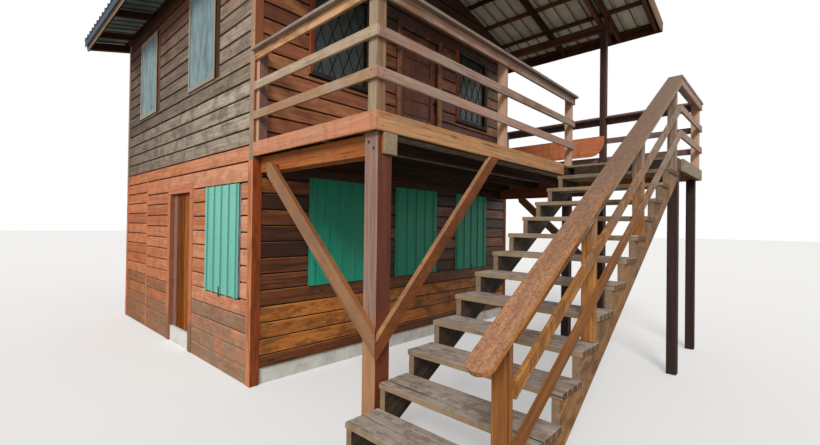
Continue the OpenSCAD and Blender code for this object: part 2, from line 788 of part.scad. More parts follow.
// The caps are cut round the two roof posts
module roof_post_cuts() {
  for (s = [0, 1]) mirror([s, 0, 0])
    box(left_x + trim_t - seat, left_x + trim_t + roof_post + 30, post_front_y - seat,
      post_front_y + roof_post + seat, cap_z - past, cap_top + past);
}
module side_caps() {
  left_cap_x = left_x - cap_over;
  right_cap_x = landing_end_x + stair_cap_over - cap_w;
  color("sienna") difference() {
    union() {
      box(left_cap_x, left_cap_x + cap_w, deck_front_y - cap_over, front_y - seat, cap_z, cap_top);
      box(right_cap_x, right_cap_x + cap_w, landing_near_y - stair_cap_over + cap_w, front_y - seat,
        cap_z, cap_top);
    }
    roof_post_cuts();
  }
}
module front_caps() {
  deck_cap_y = deck_front_y - cap_over;
  landing_cap_y = landing_near_y - stair_cap_over;
  color("sienna") difference() {
    union() {
      box(left_x - cap_over + cap_w, front_post_xs[1] + front_post_t + 30,
        deck_cap_y, deck_cap_y + cap_w, cap_z, cap_top);
      box(mitre_x, landing_end_x + stair_cap_over, landing_cap_y, landing_cap_y + cap_w, cap_z, cap_top);
    }
    roof_post_cuts();
  }
}
// A loose board nailed inside the right-hand posts, with one large rounded corner
side_board_h = 310;
side_board_round = 230;
side_board_up = 320;
module side_board() {
  y0 = post_front_y + 8;
  r = side_board_round;
  color("chocolate")
    translate([right_post_x - trim_t, 0, floor_z + side_board_up]) rotate([90, 0, 90])
      linear_extrude(trim_t) difference() {
        translate([y0, 0]) square([front_y - 5 - y0, side_board_h]);
        difference() {
          translate([y0 - 1, -1]) square(r + 1);
          translate([y0 + r, r]) circle(r = r, $fn = 96);
        }
      }
}

// Porch roof posts at the two front corners of the deck
module roof_posts() {
  color("saddlebrown")
    for (s = [0, 1]) mirror([s, 0, 0])
      translate([left_x + trim_t, post_front_y, floor_z]) cube([roof_post, roof_post, wall_top - floor_z]);
}

// Roof frame. A plate's top is cut to the slope of the rafters it carries
plate_past = 60;
module wall_plates() {
  color("tan")
    for (s = [0, 1]) mirror([s, 0, 0])
      translate([0, back_y + plate_past, 0]) rotate([90, 0, 0])
        linear_extrude(back_y - post_front_y + 2 * plate_past)
        polygon([[left_x + board_t, wall_top], [left_x + wall_in, wall_top],
          [left_x + wall_in, plate_top + wall_in * tan_p],
          [left_x + board_t, plate_top + board_t * tan_p]]);
}
// Draws its children on the right-hand slope: x runs down from the ridge, z is square to the sheets
module on_slope(apex) {
  translate([0, 0, apex]) rotate([0, roof_pitch, 0]) children();
}
// The distance along the slope from an apex to the inner face of the eave board
function down_to_eave(apex) = slope_len - (apex_sheet - apex) * sin(roof_pitch);
over_ridge = 200;
verge_in = 30;
module rafter(y) {
  intersection() {
    on_slope(apex_in) translate([-over_ridge, y, 0])
      cube([down_to_eave(apex_in) + over_ridge, rafter_w, rafter_h]);
    box(ridge_t / 2, reach, y - past, y + rafter_w + past, 0, reach);
  }
}
// One stands at each verge, one on each side of the porch posts, and the others over the walls
rafter_ys = concat([roof_front_y + verge_in, post_front_y - rafter_w, post_front_y + roof_post],
  [front_y - deck_d / 2, front_y + board_t], [for (i = [1:3]) front_y + i * house_d / 4],
  [back_y - wall_in, roof_back_y - verge_in - rafter_w]);
module rafters() {
  color("tan")
    for (s = [0, 1], y = rafter_ys) mirror([s, 0, 0]) rafter(y);
}
module ridge_board() {
  color("tan")
    box(-ridge_t / 2, ridge_t / 2, roof_front_y + verge_in, roof_back_y - verge_in,
      apex_in, apex_purlin - 20);
}
purlin_spans = 5;
first_purlin = 60;
module purlins() {
  step = (down_to_eave(apex_purlin) - first_purlin - purlin) / purlin_spans;
  color("tan")
    for (s = [0, 1], i = [0:purlin_spans]) mirror([s, 0, 0])
      on_slope(apex_purlin) translate([first_purlin + i * step, roof_front_y, 0])
        cube([purlin, roof_back_y - roof_front_y, purlin]);
}
sheet_drip = 20;
module roof_sheets() {
  color("lightslategray")
    for (s = [0, 1]) mirror([s, 0, 0])
      on_slope(apex_sheet) translate([sheet_drip, roof_back_y, seat]) rotate([90, 0, 90]) mirror([1, 0, 0])
        linear_extrude(slope_len + trim_t)
          polygon(rib_outline(roof_back_y - roof_front_y, rib_pitch, sheet_t, rib_h));
}
module ridge_cap() {
  z0 = apex_sheet + (rib_h + sheet_t + 2 * seat) / cos_p;
  z1 = z0 + sheet_t / cos_p;
  w = 180;
  fall = w * tan_p;
  color("lightslategray")
    translate([0, roof_back_y, 0]) rotate([90, 0, 0]) linear_extrude(roof_back_y - roof_front_y)
      polygon([[-w, z0 - fall], [0, z0], [w, z0 - fall], [w, z1 - fall], [0, z1], [-w, z1 - fall]]);
}
module barge_boards() {
  color("tan")
    for (s = [0, 1], y = [roof_front_y - trim_t - seat, roof_back_y + seat]) mirror([s, 0, 0])
      intersection() {
        on_slope(apex_sheet) translate([-over_ridge, y, -barge_h])
          cube([slope_len + over_ridge, trim_t, barge_h]);
        box(1, reach, y - past, y + trim_t + past, 0, reach);
      }
}
module eave_boards() {
  verge = trim_t + seat;
  color("tan")
    for (s = [0, 1]) mirror([s, 0, 0])
      on_slope(apex_sheet) translate([slope_len + seat, roof_front_y - verge, -eave_board_h])
        cube([trim_t, roof_back_y - roof_front_y + 2 * verge, eave_board_h]);
}

ground_slab();
lower_wall_posts();
front_wall_lower();
left_wall_lower_front();
left_wall_lower_rear();
left_wall_over_door();
right_wall_lower();
back_wall_lower();
entry_door_frame();
entry_door();
lower_shutters();
floor_joists();
floor_rims();
upper_floor();
upper_corner_boards();
front_wall_upper();
left_wall_upper();
right_wall_upper();
back_wall_upper();
front_frames();
window_panes();
upper_door();
upper_shutters();
deck_posts();
deck_braces();
deck_beams();
deck_joists();
deck_boards();
landing_boards();
side_fascias();
front_fascias();
stair_stringers();
stair_treads();
stair_posts();
stair_rails();
stair_handrail();
balustrade_posts();
side_rails();
front_rails();
side_caps();
front_caps();
side_board();
roof_posts();
wall_plates();
rafters();
ridge_board();
purlins();
roof_sheets();
ridge_cap();
barge_boards();
eave_boards();
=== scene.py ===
# Stilt house: the finish of every surface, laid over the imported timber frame.
# Metres, +Z up, the porch faces -Y. Places come from the frame's own nodes.
import math
import random
from functools import partial

import bmesh
import bpy
from mathutils import Matrix, Vector


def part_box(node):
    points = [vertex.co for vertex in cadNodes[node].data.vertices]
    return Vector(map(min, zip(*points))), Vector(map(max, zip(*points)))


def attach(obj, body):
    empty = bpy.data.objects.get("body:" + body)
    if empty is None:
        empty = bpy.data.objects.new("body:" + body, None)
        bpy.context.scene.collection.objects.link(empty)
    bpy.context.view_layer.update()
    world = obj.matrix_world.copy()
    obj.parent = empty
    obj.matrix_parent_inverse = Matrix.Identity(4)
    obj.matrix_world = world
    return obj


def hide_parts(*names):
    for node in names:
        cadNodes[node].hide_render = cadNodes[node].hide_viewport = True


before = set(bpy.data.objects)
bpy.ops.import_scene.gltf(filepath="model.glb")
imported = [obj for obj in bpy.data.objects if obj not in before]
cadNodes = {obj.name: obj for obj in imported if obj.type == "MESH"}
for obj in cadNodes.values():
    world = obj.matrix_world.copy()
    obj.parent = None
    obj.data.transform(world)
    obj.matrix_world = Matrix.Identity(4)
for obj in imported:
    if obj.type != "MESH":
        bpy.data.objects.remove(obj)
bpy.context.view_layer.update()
mm = 0.001
print("frame loaded")


def hexColour(text):
    # sRGB hex to the linear values that shaders read
    parts = [int(text[i:i + 2], 16) / 255 for i in (1, 3, 5)]
    return (*(c / 12.92 if c <= 0.04045 else ((c + 0.055) / 1.055) ** 2.4 for c in parts), 1.0)


def addNode(tree, kind, inputs=None, **settings):
    # A node with its settings. An input is a value, a hex colour, a socket, or a node whose first
    # live output it reads. A shader's kinds are named without their prefix
    node = tree.nodes.new(kind if "Node" in kind else "ShaderNode" + kind)
    for key, value in settings.items():
        setattr(node, key, value)
    for key, value in (inputs or {}).items():
        if isinstance(value, bpy.types.Node):
            value = next(socket for socket in value.outputs if socket.enabled)
        if isinstance(value, bpy.types.NodeSocket):
            tree.links.new(value, node.inputs[key])
        else:
            node.inputs[key].default_value = hexColour(value) if str(value).startswith("#") else value
    return node


def newMaterial(name):
    # an empty material, and the function that adds nodes to it
    material = bpy.data.materials.new(name)
    material.use_nodes = True
    material.node_tree.nodes.clear()
    return material, partial(addNode, material.node_tree)


def closeMaterial(material, add, values):
    # ends a material in its shader
    shader = add("BsdfPrincipled", values)
    add("OutputMaterial", {"Surface": shader})
    return material


def readPlace(add):
    # the object's coordinates, then X, Y and Z of them and of the surface's direction
    coordinates = add("TexCoord").outputs
    parts = [add("SeparateXYZ", {0: coordinates[key]}).outputs for key in ("Object", "Normal")]
    return coordinates["Object"], *parts


def fillRamp(ramp, stops):
    # stops are (place, hex colour) pairs from low to high
    elements = ramp.color_ramp.elements
    while len(elements) < len(stops):
        elements.new(0.5)
    for element, (place, colour) in zip(elements, stops):
        element.position = place
        element.color = hexColour(colour)
    return ramp


def stretchedNoise(add, vector, scale, detail, roughness, distortion=0.0, shift=(0, 0, 0)):
    # noise drawn out along a grain or down a wall, with its scale along X, Y and Z
    mapped = add("Mapping", {"Vector": vector, "Location": shift, "Scale": scale})
    return add("TexNoise", {
        "Vector": mapped, "Scale": 1.0, "Detail": detail, "Roughness": roughness, "Distortion": distortion})


def layered(add, base, *layers):
    # Lays one colour over another. A layer is what it depends on, the values of that where it is
    # none and full, its strength, its colour and, where it isn't plain, how it blends
    for source, none, full, strength, colour, *blend in layers:
        mask = add("MapRange", {"Value": source, "From Min": none, "From Max": full, "To Max": strength})
        base = add("Mix", {0: mask, 6: base, 7: colour}, data_type="RGBA", blend_type=(*blend, "MIX")[0])
    return base


# Timber

timberDefaults = {
    "aged": (0.2, 0.2), "levels": (0.0, 5.0),  # the share of weathered patches at two heights, and these; on the porch wall's boards, painted shade towards the eaves
    "toneShare": 0.45,  # how far one piece differs from the next
    "runMm": 260, "grainMm": 11, "patchMm": 240,
    "crack": "#2a1d16", "cracks": 0.3, "endCracks": 1.0,  # the last is their share on faces that look forward
    "rough": 0.72, "ior": 1.45, "bumpMm": 1.2, "knots": 0.0,
    "stain": ("#4a3b30", 0.0), "run": ("#9a7350", 0.0), "stainMm": (110, 330),  # colours and strengths
    "edge": ("#d8a878", 0.0),  # a painted highlight along a board's top edge, where its chamfer catches the light
    "left": ("#b09070", 0.0),  # faces that look to the sunny side take this colour, partly weathering and partly painted light
    "front": "#ffffff", "frontGain": 1.0,  # what multiplies the colour of faces that look forward: painted shade, and painted light where the gain is above one
    "rear": "#ffffff",  # and of all faces towards the back of the house
}


def makeTimber(name, colours, **changes):
    # Colours are the wood's deep, body and pale ones and that of its weathered patches, which on the
    # porch wall's boards is a dark painted shade. Reads the grain that the boards and the frame's timbers
    # carry: grainAt runs along each piece in X, and tone is one random number a piece
    deep, body, pale, aged = colours.split()
    look = {**timberDefaults, **changes}
    material, add = newMaterial(name)
    place, spot, facing = readPlace(add)
    grainAt = add("Attribute", attribute_name="grainAt").outputs["Vector"]
    tone, rise = (add("Attribute", attribute_name=key).outputs["Fac"] for key in ("tone", "rise"))
    run, fine = 1000 / look["runMm"], 1000 / look["grainMm"]
    streaks = stretchedNoise(add, grainAt, (run, fine, fine), 6.0, 0.65, 0.5)
    bands = stretchedNoise(add, grainAt, (run / 5, fine / 5, fine / 5), 3.0, 0.5, 1.2)
    splits = stretchedNoise(add, grainAt, (run / 2, fine / 1.6, fine / 1.6), 2.0, 0.5, 0.2, (3.1, 7.7, 1.3))

    # the grain, the broad bands and the piece's own tone together pick the colour
    shade = -0.225 - look["toneShare"] / 2
    for source, gain in ((streaks, 0.75), (bands, 0.7), (tone, look["toneShare"])):
        isLast = source == tone
        shade = add("Math", {0: source, 1: gain, 2: shade}, operation="MULTIPLY_ADD", use_clamp=isLast)
    wood = fillRamp(add("ValToRGB", {"Fac": shade}), [(0.2, deep), (0.5, body), (0.82, pale)])

    # weathered patches, more of them at one height than at another; on the porch wall's boards dark patches
    # towards the eaves are painted shade
    patches = add("TexNoise", {
        "Vector": place, "Scale": 1000 / look["patchMm"], "Detail": 7.0, "Roughness": 0.7})
    start = add("MapRange", {
        "Value": spot["Z"], "From Min": look["levels"][0], "From Max": look["levels"][1],
        "To Min": 0.86 - look["aged"][0], "To Max": 0.86 - look["aged"][1]})
    # water stains that run down over the boards, dark and pale ones
    wide, tall = (1000 / size for size in look["stainMm"])
    apart = add("VectorMath", {0: (41.0, 53.0, 37.0), "Scale": tone}, operation="SCALE")
    blots = stretchedNoise(add, place, (wide, wide, tall), 5.0, 0.62, shift=apart)
    ragged, agedValue, mottle, topHighlightAt = (
        add("Math", {0: source, 1: gain, 2: other}, operation="MULTIPLY_ADD") for source, gain, other in (
            (streaks, 0.3, patches), (streaks, 1.3, 0.35), (tone, 0.16, blots), (streaks, 0.12, rise)))
    excess = add("Math", {0: ragged, 1: start}, operation="SUBTRACT")
    agedShade = add("HueSaturation", {"Color": aged, "Value": agedValue})
    knotPlace = add("Mapping", {"Vector": grainAt, "Scale": (2.6, 9.0, 9.0)})
    knots = add("TexVoronoi", {"Vector": knotPlace, "Scale": 1.0}).outputs["Distance"]
    # patches, stains, runs, knots, and last a painted highlight along each board's top edge
    colour = layered(
        add, wood, (excess, 0.0, 0.22, 1.0, agedShade),
        (mottle, 0.58, 0.72, look["stain"][1], look["stain"][0]),
        (mottle, 0.5, 0.38, look["run"][1], look["run"][0]),
        (knots, 0.16, 0.06, look["knots"], look["crack"]),
        (topHighlightAt, 0.94, 1.04, look["edge"][1], look["edge"][0]))
    # faces towards the sunny side take another colour, partly weathering and partly painted light
    sunSideTone = add("Mix", {0: 0.5, 6: look["left"][0], 7: colour}, data_type="RGBA", blend_type="OVERLAY")
    # faces that look forward are multiplied: darker as painted shade, and brighter as painted light where the
    # gain is above one
    forwardLightAndShade = tuple(c * look["frontGain"] for c in hexColour(look["front"]))
    colour = layered(
        add, colour, (facing["X"], -0.5, -0.8, look["left"][1], sunSideTone),
        (facing["Y"], -0.5, -0.8, 1.0, forwardLightAndShade, "MULTIPLY"),
        (spot["Y"], -2.0, 2.3, 1.0, look["rear"], "MULTIPLY"))

    # drying cracks along the grain
    crackShare = add("MapRange", {
        "Value": facing["Y"], "From Min": -0.5, "From Max": -0.8,
        "To Min": look["cracks"], "To Max": look["cracks"] * look["endCracks"]})
    cracks = add("MapRange", {"Value": splits, "From Min": 0.37, "From Max": 0.3, "To Max": crackShare})
    colour = add("Mix", {0: cracks, 6: colour, 7: look["crack"]}, data_type="RGBA")
    depth = add("Math", {0: streaks, 1: cracks}, operation="SUBTRACT")
    bump = add("Bump", {"Height": depth, "Strength": 0.7, "Distance": look["bumpMm"] * mm})
    gloss = add("MapRange", {"Value": bands, "To Min": look["rough"] + 0.12, "To Max": look["rough"] - 0.12})
    return closeMaterial(material, add, {
        "Base Color": colour, "Roughness": gloss, "IOR": look["ior"], "Normal": bump})


# Oiled hardwood boards in the sun: salmon near the porch and orange to the rear, bleached
# grey-brown by splashes near the ground
orangeBoards = makeTimber(
    "oiledBoardsOrange", "#8c6850 #c4784c #de9c78 #9c7e66", toneShare=0.9, aged=(0.4, 0.1), levels=(0.3, 1.1),
    rear="#e8c494", edge=("#d89c7c", 0.4), stain=("#80503a", 0.35), stainMm=(190, 130), run=("#d49a7c", 0.3),
    knots=0.2)
# The same boards kept dry by the deck: brown above, amber and knotty below, all painted darker as the deck's
# shade
amberBoards = makeTimber(
    "oiledBoardsAmber", "#3a2014 #824824 #cc7e38 #6a3420", aged=(0.1, 0.25), toneShare=1.1, rough=0.42,
    bumpMm=1.6, patchMm=420, edge=("#d8a468", 0.7), knots=0.75, stain=("#4a2616", 0.6), stainMm=(220, 90))
# Bare boards gone grey-brown in the rain and blotched by it, redder under the eaves
greyBoards = makeTimber(
    "weatheredBoards", "#65564a #a3917f #c8baaa #7f5240", aged=(0.0, 0.62), levels=(3.5, 4.7), rough=0.85,
    bumpMm=2.2, toneShare=0.55, cracks=0.5, stain=("#4c3e34", 0.5), run=("#a88768", 0.45), stainMm=(240, 170),
    patchMm=500, edge=("#d8ccb8", 0.7), rear="#a49a92")
# Oiled boards of the porch wall: red-brown, darkening towards the eaves as painted shade
redBoards = makeTimber(
    "oiledBoardsRed", "#6a3620 #a05c38 #c48350 #3c2015", aged=(0.05, 0.6), levels=(3.4, 4.9), rough=0.5,
    edge=("#d0926a", 0.35), toneShare=0.7, stain=("#5c3020", 0.4), stainMm=(260, 90))
panelDoorTimber = makeTimber(
    "panelDoor", "#5c2f20 #8c4e32 #b0714a #4a2a1c", aged=(0.1, 0.4), levels=(3.0, 4.6), rough=0.5,
    toneShare=0.5)
# Painted shade: near-black wood for the walls behind the boards, which shows in the gaps between them
gapShadeTimber = makeTimber("paintedGapShade", "#0d0705 #170d09 #22150e #150e0a")
# Sawn posts: greyed, browner at the foot, and red-brown on the side that looks
# out from the porch, which is painted shade
deckPostTimber = makeTimber(
    "sawnPosts", "#684f44 #927264 #b89888 #b0805a", aged=(0.75, 0.05), levels=(0.5, 1.3), front="#ac7658",
    cracks=0.6, runMm=340, toneShare=0.1)
cornerTimber = makeTimber(
    "oiledCornerPosts", "#9c5a34 #c67446 #d88e64 #a07c64", aged=(0.2, 0.05), levels=(0.1, 0.6),
    front="#bc9050", stain=("#7a4424", 0.5), stainMm=(60, 300))
casingTimber = makeTimber(
    "oiledDoorCasing", "#8f5236 #bd6e4a #d08c68 #84664f", aged=(0.5, 0.0), levels=(0.1, 0.9), toneShare=0.2)
beamTimber = makeTimber("oiledDeckBeams", "#64300e #a45a1e #c47f3e #704020", cracks=0.6)
beamEndTimber = makeTimber(
    "greyedBeamEnds", "#6a5a48 #958368 #b3a184 #857a64", cracks=0.8, runMm=90, grainMm=14)
braceTimber = makeTimber(
    "sawnBraces", "#8a5428 #b27a44 #cc9c66 #8f6444", aged=(0.3, 0.3), front="#b48c68", cracks=0.5, runMm=500,
    left=("#94806e", 0.6))
roofPostTimber = makeTimber("darkPosts", "#22120e #341e18 #4c3028 #2c1c16")
cornerRailPost = makeTimber(
    "greyedCornerPost", "#8a745c #b09a80 #cbb99f #9a8c78", front="#e0c8b4", cracks=0.5)
# Rails and fascias: planed softwood bleached to tan
fasciaTimber = makeTimber(
    "orangeFascias", "#b87650 #d69270 #e6b092 #c49878", stain=("#a86c4a", 0.5), stainMm=(70, 400), cracks=0.4)
tanTimber = makeTimber(
    "tanFascias", "#a87448 #d09c6c #e2bc92 #a89478", stain=("#9a5f30", 0.6), stainMm=(260, 120), cracks=0.6,
    knots=0.4)
railTimber = makeTimber(
    "tanRails", "#a57248 #b8977c #ccc0ae #a8947f", aged=(0.3, 0.3), cracks=0.5, toneShare=0.8,
    left=("#b8a88e", 0.35))
frontRailTimber = makeTimber("rosyRails", "#8a6452 #b58a76 #d2ae9c #a08c7e", aged=(0.3, 0.3), cracks=0.5)
rosyPostTimber = makeTimber(
    "rosyRailPosts", "#9a7264 #be9686 #d4b4a8 #a88f86", cracks=0.4, left=("#c8b090", 0.8))
# Painted shade: darker copies of the rail woods for faces that lie in shade; the first also serves a grey
# door board
endPostTimber = makeTimber("shadedEndPost", "#5c3c38 #7e5850 #9a766c #6a5250")
farRailTimber = makeTimber("shadedRails", "#4a3834 #6e5650 #8c746a #5f4e4a", cracks=0.4)
capTimber = makeTimber(
    "wornCaps", "#6a5850 #94847a #c2b6ae #85776c", aged=(0.3, 0.3), cracks=0.5, left=("#a89c94", 0.5))
# The handrail, rubbed to a fine speckle: salmon at its foot and brown above. Its faces that look forward are
# brightened as painted light
handrailTimber = makeTimber(
    "speckledHandrail", "#74503c #a67654 #c8926c #806656", aged=(0.1, 0.55), levels=(1.0, 2.6), patchMm=26,
    runMm=60, grainMm=9, stain=("#5f4232", 0.6), stainMm=(16, 16), run=("#c88458", 0.5), cracks=0.2,
    front="#dccf9c", frontGain=1.9)
stairTimber = makeTimber(
    "stairTimber", "#5e3414 #a0642c #c88e4c #96806f", aged=(0.0, 0.65), levels=(0.9, 2.9), cracks=0.5,
    runMm=400, stain=("#54341c", 0.5), stainMm=(40, 260), toneShare=0.3)
stringerTimber = makeTimber(
    "stairStringers", "#5a351c #8a5830 #b58a52 #8a6648", aged=(0.3, 0.4), levels=(0.3, 2.4), cracks=0.6,
    runMm=500, stain=("#443020", 0.6), stainMm=(140, 90), left=("#a0927c", 0.85))
# Painted shade: near-black for the stringers' faces in the shade under the treads
shadedStringer = makeTimber("paintedShadeStringer", "#100b08 #241a12 #54432f #231c15", runMm=120, grainMm=22)
# Bare treads, silvered and cracked by rain and feet; browner on their noses, which face the sunny side,
# partly painted light, and darker on their forward ends as painted shade
treadTimber = makeTimber(
    "silveredTreads", "#66564a #9a8a7f #c2b5aa #a3958a", aged=(0.4, 0.3), levels=(0.3, 2.4), cracks=0.95,
    endCracks=0.2, grainMm=14, runMm=420, bumpMm=3.6, rough=0.88, stain=("#6a5440", 0.6), stainMm=(110, 110),
    left=("#a5906e", 0.8), front="#b09478")
sawnTimber = makeTimber("darkSawnTimber", "#301e16 #523424 #7a5440 #42302a", ior=1.2)
deckUnderTimber = makeTimber("darkDeckJoists", "#1f1612 #33251c #6a503c #2a201b")
bargeTimber = makeTimber("tanBargeBoards", "#9a8268 #bba58c #d4c2ac #968676", front="#a08468")
boardedCorner = makeTimber(
    "weatheredCornerBoards", "#7a5a44 #a47a5c #c0a080 #8f7d6a", aged=(0.4, 0.1), levels=(2.4, 3.8),
    front="#d8a084", cracks=0.4)
# Dark window frames, orange on the faces towards the sunny side as painted light
windowTimber = makeTimber("darkWindowFrames", "#17110d #2c211a #5c4230 #221b16", left=("#b07c48", 0.9))
doorTimber = makeTimber(
    "oiledDoorBoards", "#3a1c0a #864814 #b87028 #5c3c26", aged=(0.05, 0.05), rough=0.6, toneShare=0.8,
    ior=1.12)


def makePaint(name, colour, sunSideColour, rough, dirt, dirtMm, dirtFrom=0.48, flank=("#5f5a5c", 0.0)):
    # Baked enamel on rolled steel sheet, or paint on a board: chalkier on the sunny side, partly from
    # sun fading and partly as painted light, with runs of dirt, and painted shade in the flanks of the
    # ribs. Dirt and flank are colours and strengths
    sunSideX = -2.45
    material, add = newMaterial(name)
    place, spot, facing = readPlace(add)
    # the sunny side takes its own colour: partly sun fading, partly painted light
    sunny = add("Math", {0: spot["X"], 1: sunSideX}, operation="LESS_THAN")
    base = add("Mix", {0: sunny, 6: colour, 7: sunSideColour}, data_type="RGBA")
    wide, tall = (1000 / size for size in dirtMm)
    stains = stretchedNoise(add, place, (wide, wide, tall), 6.0, 0.65)
    # painted shade on the faces that turn sideways, the flanks of the ribs
    slant = add("Math", {0: facing["X"], 1: facing["Y"]}, operation="MULTIPLY")
    steepness = add("Math", {0: slant}, operation="ABSOLUTE")
    painted = layered(
        add, base, (stains, dirtFrom, 0.68, dirt[1], dirt[0]), (steepness, 0.1, 0.3, flank[1], flank[0]))
    fine = add("TexNoise", {"Vector": place, "Scale": 90.0, "Detail": 3.0})
    bump = add("Bump", {"Height": fine, "Strength": 0.25, "Distance": 0.4 * mm})
    gloss = add("MapRange", {"Value": stains, "To Min": rough - 0.1, "To Max": rough + 0.15})
    return closeMaterial(material, add, {
        "Base Color": painted, "Roughness": gloss, "IOR": 1.5, "Normal": bump})


tealSheet = makePaint(
    "tealEnamelledSheet", "#12a888", "#78c9b8", 0.4, ("#2a8272", 0.35), (60, 900), flank=("#1a7463", 0.75))
shutterEdgePaint = makePaint("lilacEdgePaint", "#8f8992", "#b0aab4", 0.7, ("#5f5a5c", 0.6), (40, 200))
palePaint = makePaint("greyedFramePaint", "#8c8a7e", "#989284", 0.75, ("#8f9080", 0.6), (30, 160))
bluePaint = makePaint("chalkyBluePaint", "#748a92", "#86a0a8", 0.7, ("#5c655f", 1.0), (110, 420), 0.4)
# painted shade: the dark slate blue of the strip under the sheet's overhang at the eaves
overhangShadePaint = makePaint("paintedOverhangShade", "#22384f", "#243c55", 0.45, ("#1f3a5a", 0.7), (90, 90))


def makeRoofMetal():
    # Aluminium-zinc coated sheet: blue-grey and dull above, pale and clean below
    material, add = newMaterial("coatedRoofSheet")
    place, spot, facing = readPlace(add)
    up = add("SeparateXYZ", {0: add("NewGeometry").outputs["Normal"]}).outputs["Z"]
    spangle = add("TexNoise", {"Vector": place, "Scale": 6.0, "Detail": 6.0, "Roughness": 0.65})
    top, under = (fillRamp(add("ValToRGB", {"Fac": spangle}), stops) for stops in (
        [(0.3, "#3f5f7c"), (0.55, "#5a7d98"), (0.75, "#7f99a8")],
        [(0.3, "#c4c6bc"), (0.6, "#dcded4"), (0.8, "#ecece4")]))
    slant = add("Math", {0: facing["Y"]}, operation="ABSOLUTE")
    # under the weather-side eave a painted reflection of the blue open air, and the ribs' flanks darkened as
    # painted shade
    colour = layered(
        add, under, (spot["X"], -2.2, -2.6, 1.0, "#8fa9bc", "MULTIPLY"),
        (slant, 0.2, 0.5, 0.75, "#4c4a44"), (up, -0.2, 0.2, 1.0, top))
    metal = add("MapRange", {"Value": up, "From Min": -0.2, "From Max": 0.2, "To Max": 0.35})
    gloss = add("MapRange", {"Value": spangle, "To Min": 0.35, "To Max": 0.6})
    return closeMaterial(material, add, {"Base Color": colour, "Roughness": gloss, "Metallic": metal})


def makeSpeckled(name, noise, stops, rough, bump, pitScale=None, **values):
    # A material whose colour follows one noise of a scale, detail and roughness. Its own roughness
    # goes between two values, and bump is a strength and a depth in mm
    material, add = newMaterial(name)
    place = readPlace(add)[0]
    clouds = add("TexNoise", {"Vector": place, **dict(zip(("Scale", "Detail", "Roughness"), noise))})
    tint = fillRamp(add("ValToRGB", {"Fac": clouds}), stops)
    gloss = add("MapRange", {"Value": clouds, "To Min": rough[0], "To Max": rough[1]})
    height = clouds
    if pitScale:
        pits = add("TexVoronoi", {"Vector": place, "Scale": pitScale}).outputs["Distance"]
        height = add("Math", {0: pits, 1: 0.5, 2: clouds}, operation="MULTIPLY_ADD")
    relief = add("Bump", {"Height": height, "Strength": bump[0], "Distance": bump[1] * mm})
    return closeMaterial(material, add, {"Base Color": tint, "Roughness": gloss, "Normal": relief, **values})


roofMetal = makeRoofMetal()
# Poured concrete, floated by hand: pale grey with stains and small pits
concrete = makeSpeckled(
    "pouredConcrete", (4.0, 8.0, 0.7), [(0.3, "#bcbab2"), (0.5, "#dedcd4"), (0.7, "#eeece6")], (0.9, 0.9),
    (0.6, 4.0), 60.0)
# Old window glass behind insect mesh: dark grey-green, flat, with a dull film
darkGlass = makeSpeckled(
    "filmedWindowGlass", (9.0, 6.0, 0.65), [(0.3, "#141b19"), (0.55, "#27312d"), (0.75, "#46504a")],
    (0.15, 0.5), (0.0, 1.0), IOR=1.5)
# Plain steel left outdoors: dull grey with brown rust in spots, or black
rustyIron, latticeLead = (
    makeSpeckled(name, (140.0, 4.0, 0.6), [(0.4, clean), (0.6, rust)], (0.55, 0.55), (0.4, 0.5), Metallic=0.7)
    for name, clean, rust in (("rustedNails", "#4a4340", "#5e3a28"), ("latticeBars", "#1c2220", "#27302c")))
print("materials made")


# Geometry Nodes trees

def newTree(name, sockets):
    # a tree with its named inputs, and the function that adds nodes to it
    tree = bpy.data.node_groups.new(name, "GeometryNodeTree")
    for label, kind in {"Geometry": "Geometry", **sockets}.items():
        tree.interface.new_socket(label, in_out="INPUT", socket_type="NodeSocket" + kind)
    tree.interface.new_socket("Geometry", in_out="OUTPUT", socket_type="NodeSocketGeometry")
    return tree, partial(addNode, tree), addNode(tree, "NodeGroupInput").outputs


def shiftedGrain(add, place):
    # where a point lies in the wood, which differs from piece to piece
    tone = add("GeometryNodeInputNamedAttribute", {"Name": "tone"})
    shift = add("VectorMath", {0: (31.0, 17.0, 23.0), "Scale": tone}, operation="SCALE")
    return add("VectorMath", {0: place, 1: shift}, operation="ADD")


def makeGrainTree():
    # Gives every solid of a frame node one tone, and grain that runs along it
    tree, add, given = newTree("timberGrain", {
        "Grain turn": "Vector", "Second turn": "Vector", "Split axis": "Vector", "Split at": "Float",
        "Seed": "Int"})
    merged = add("GeometryNodeMergeByDistance", {"Geometry": given["Geometry"], "Distance": 0.05 * mm})
    bare = add("GeometryNodeRemoveAttribute", {"Geometry": merged, "Name": "custom_normal"})
    flat = add("GeometryNodeSetShadeSmooth", {"Geometry": bare, "Shade Smooth": False})
    island = add("GeometryNodeInputMeshIsland").outputs["Island Index"]
    pick = add("FunctionNodeRandomValue", {"ID": island, "Seed": given["Seed"]}, data_type="FLOAT")
    toned = add("GeometryNodeStoreNamedAttribute", {"Geometry": flat, "Name": "tone", "Value": pick})
    at = add("GeometryNodeInputPosition")
    side = add("VectorMath", {0: at, 1: given["Split axis"]}, operation="DOT_PRODUCT")
    second = add("FunctionNodeCompare", {0: side, 1: given["Split at"]}, operation="LESS_THAN")
    turn = add("GeometryNodeSwitch", {
        "Switch": second, "False": given["Grain turn"], "True": given["Second turn"]}, input_type="VECTOR")
    turned = add("VectorRotate", {"Vector": at, "Rotation": turn}, rotation_type="EULER_XYZ")
    stored = add("GeometryNodeStoreNamedAttribute", {
        "Geometry": toned, "Name": "grainAt", "Value": shiftedGrain(add, turned)}, data_type="FLOAT_VECTOR")
    add("NodeGroupOutput", {"Geometry": stored})
    return tree


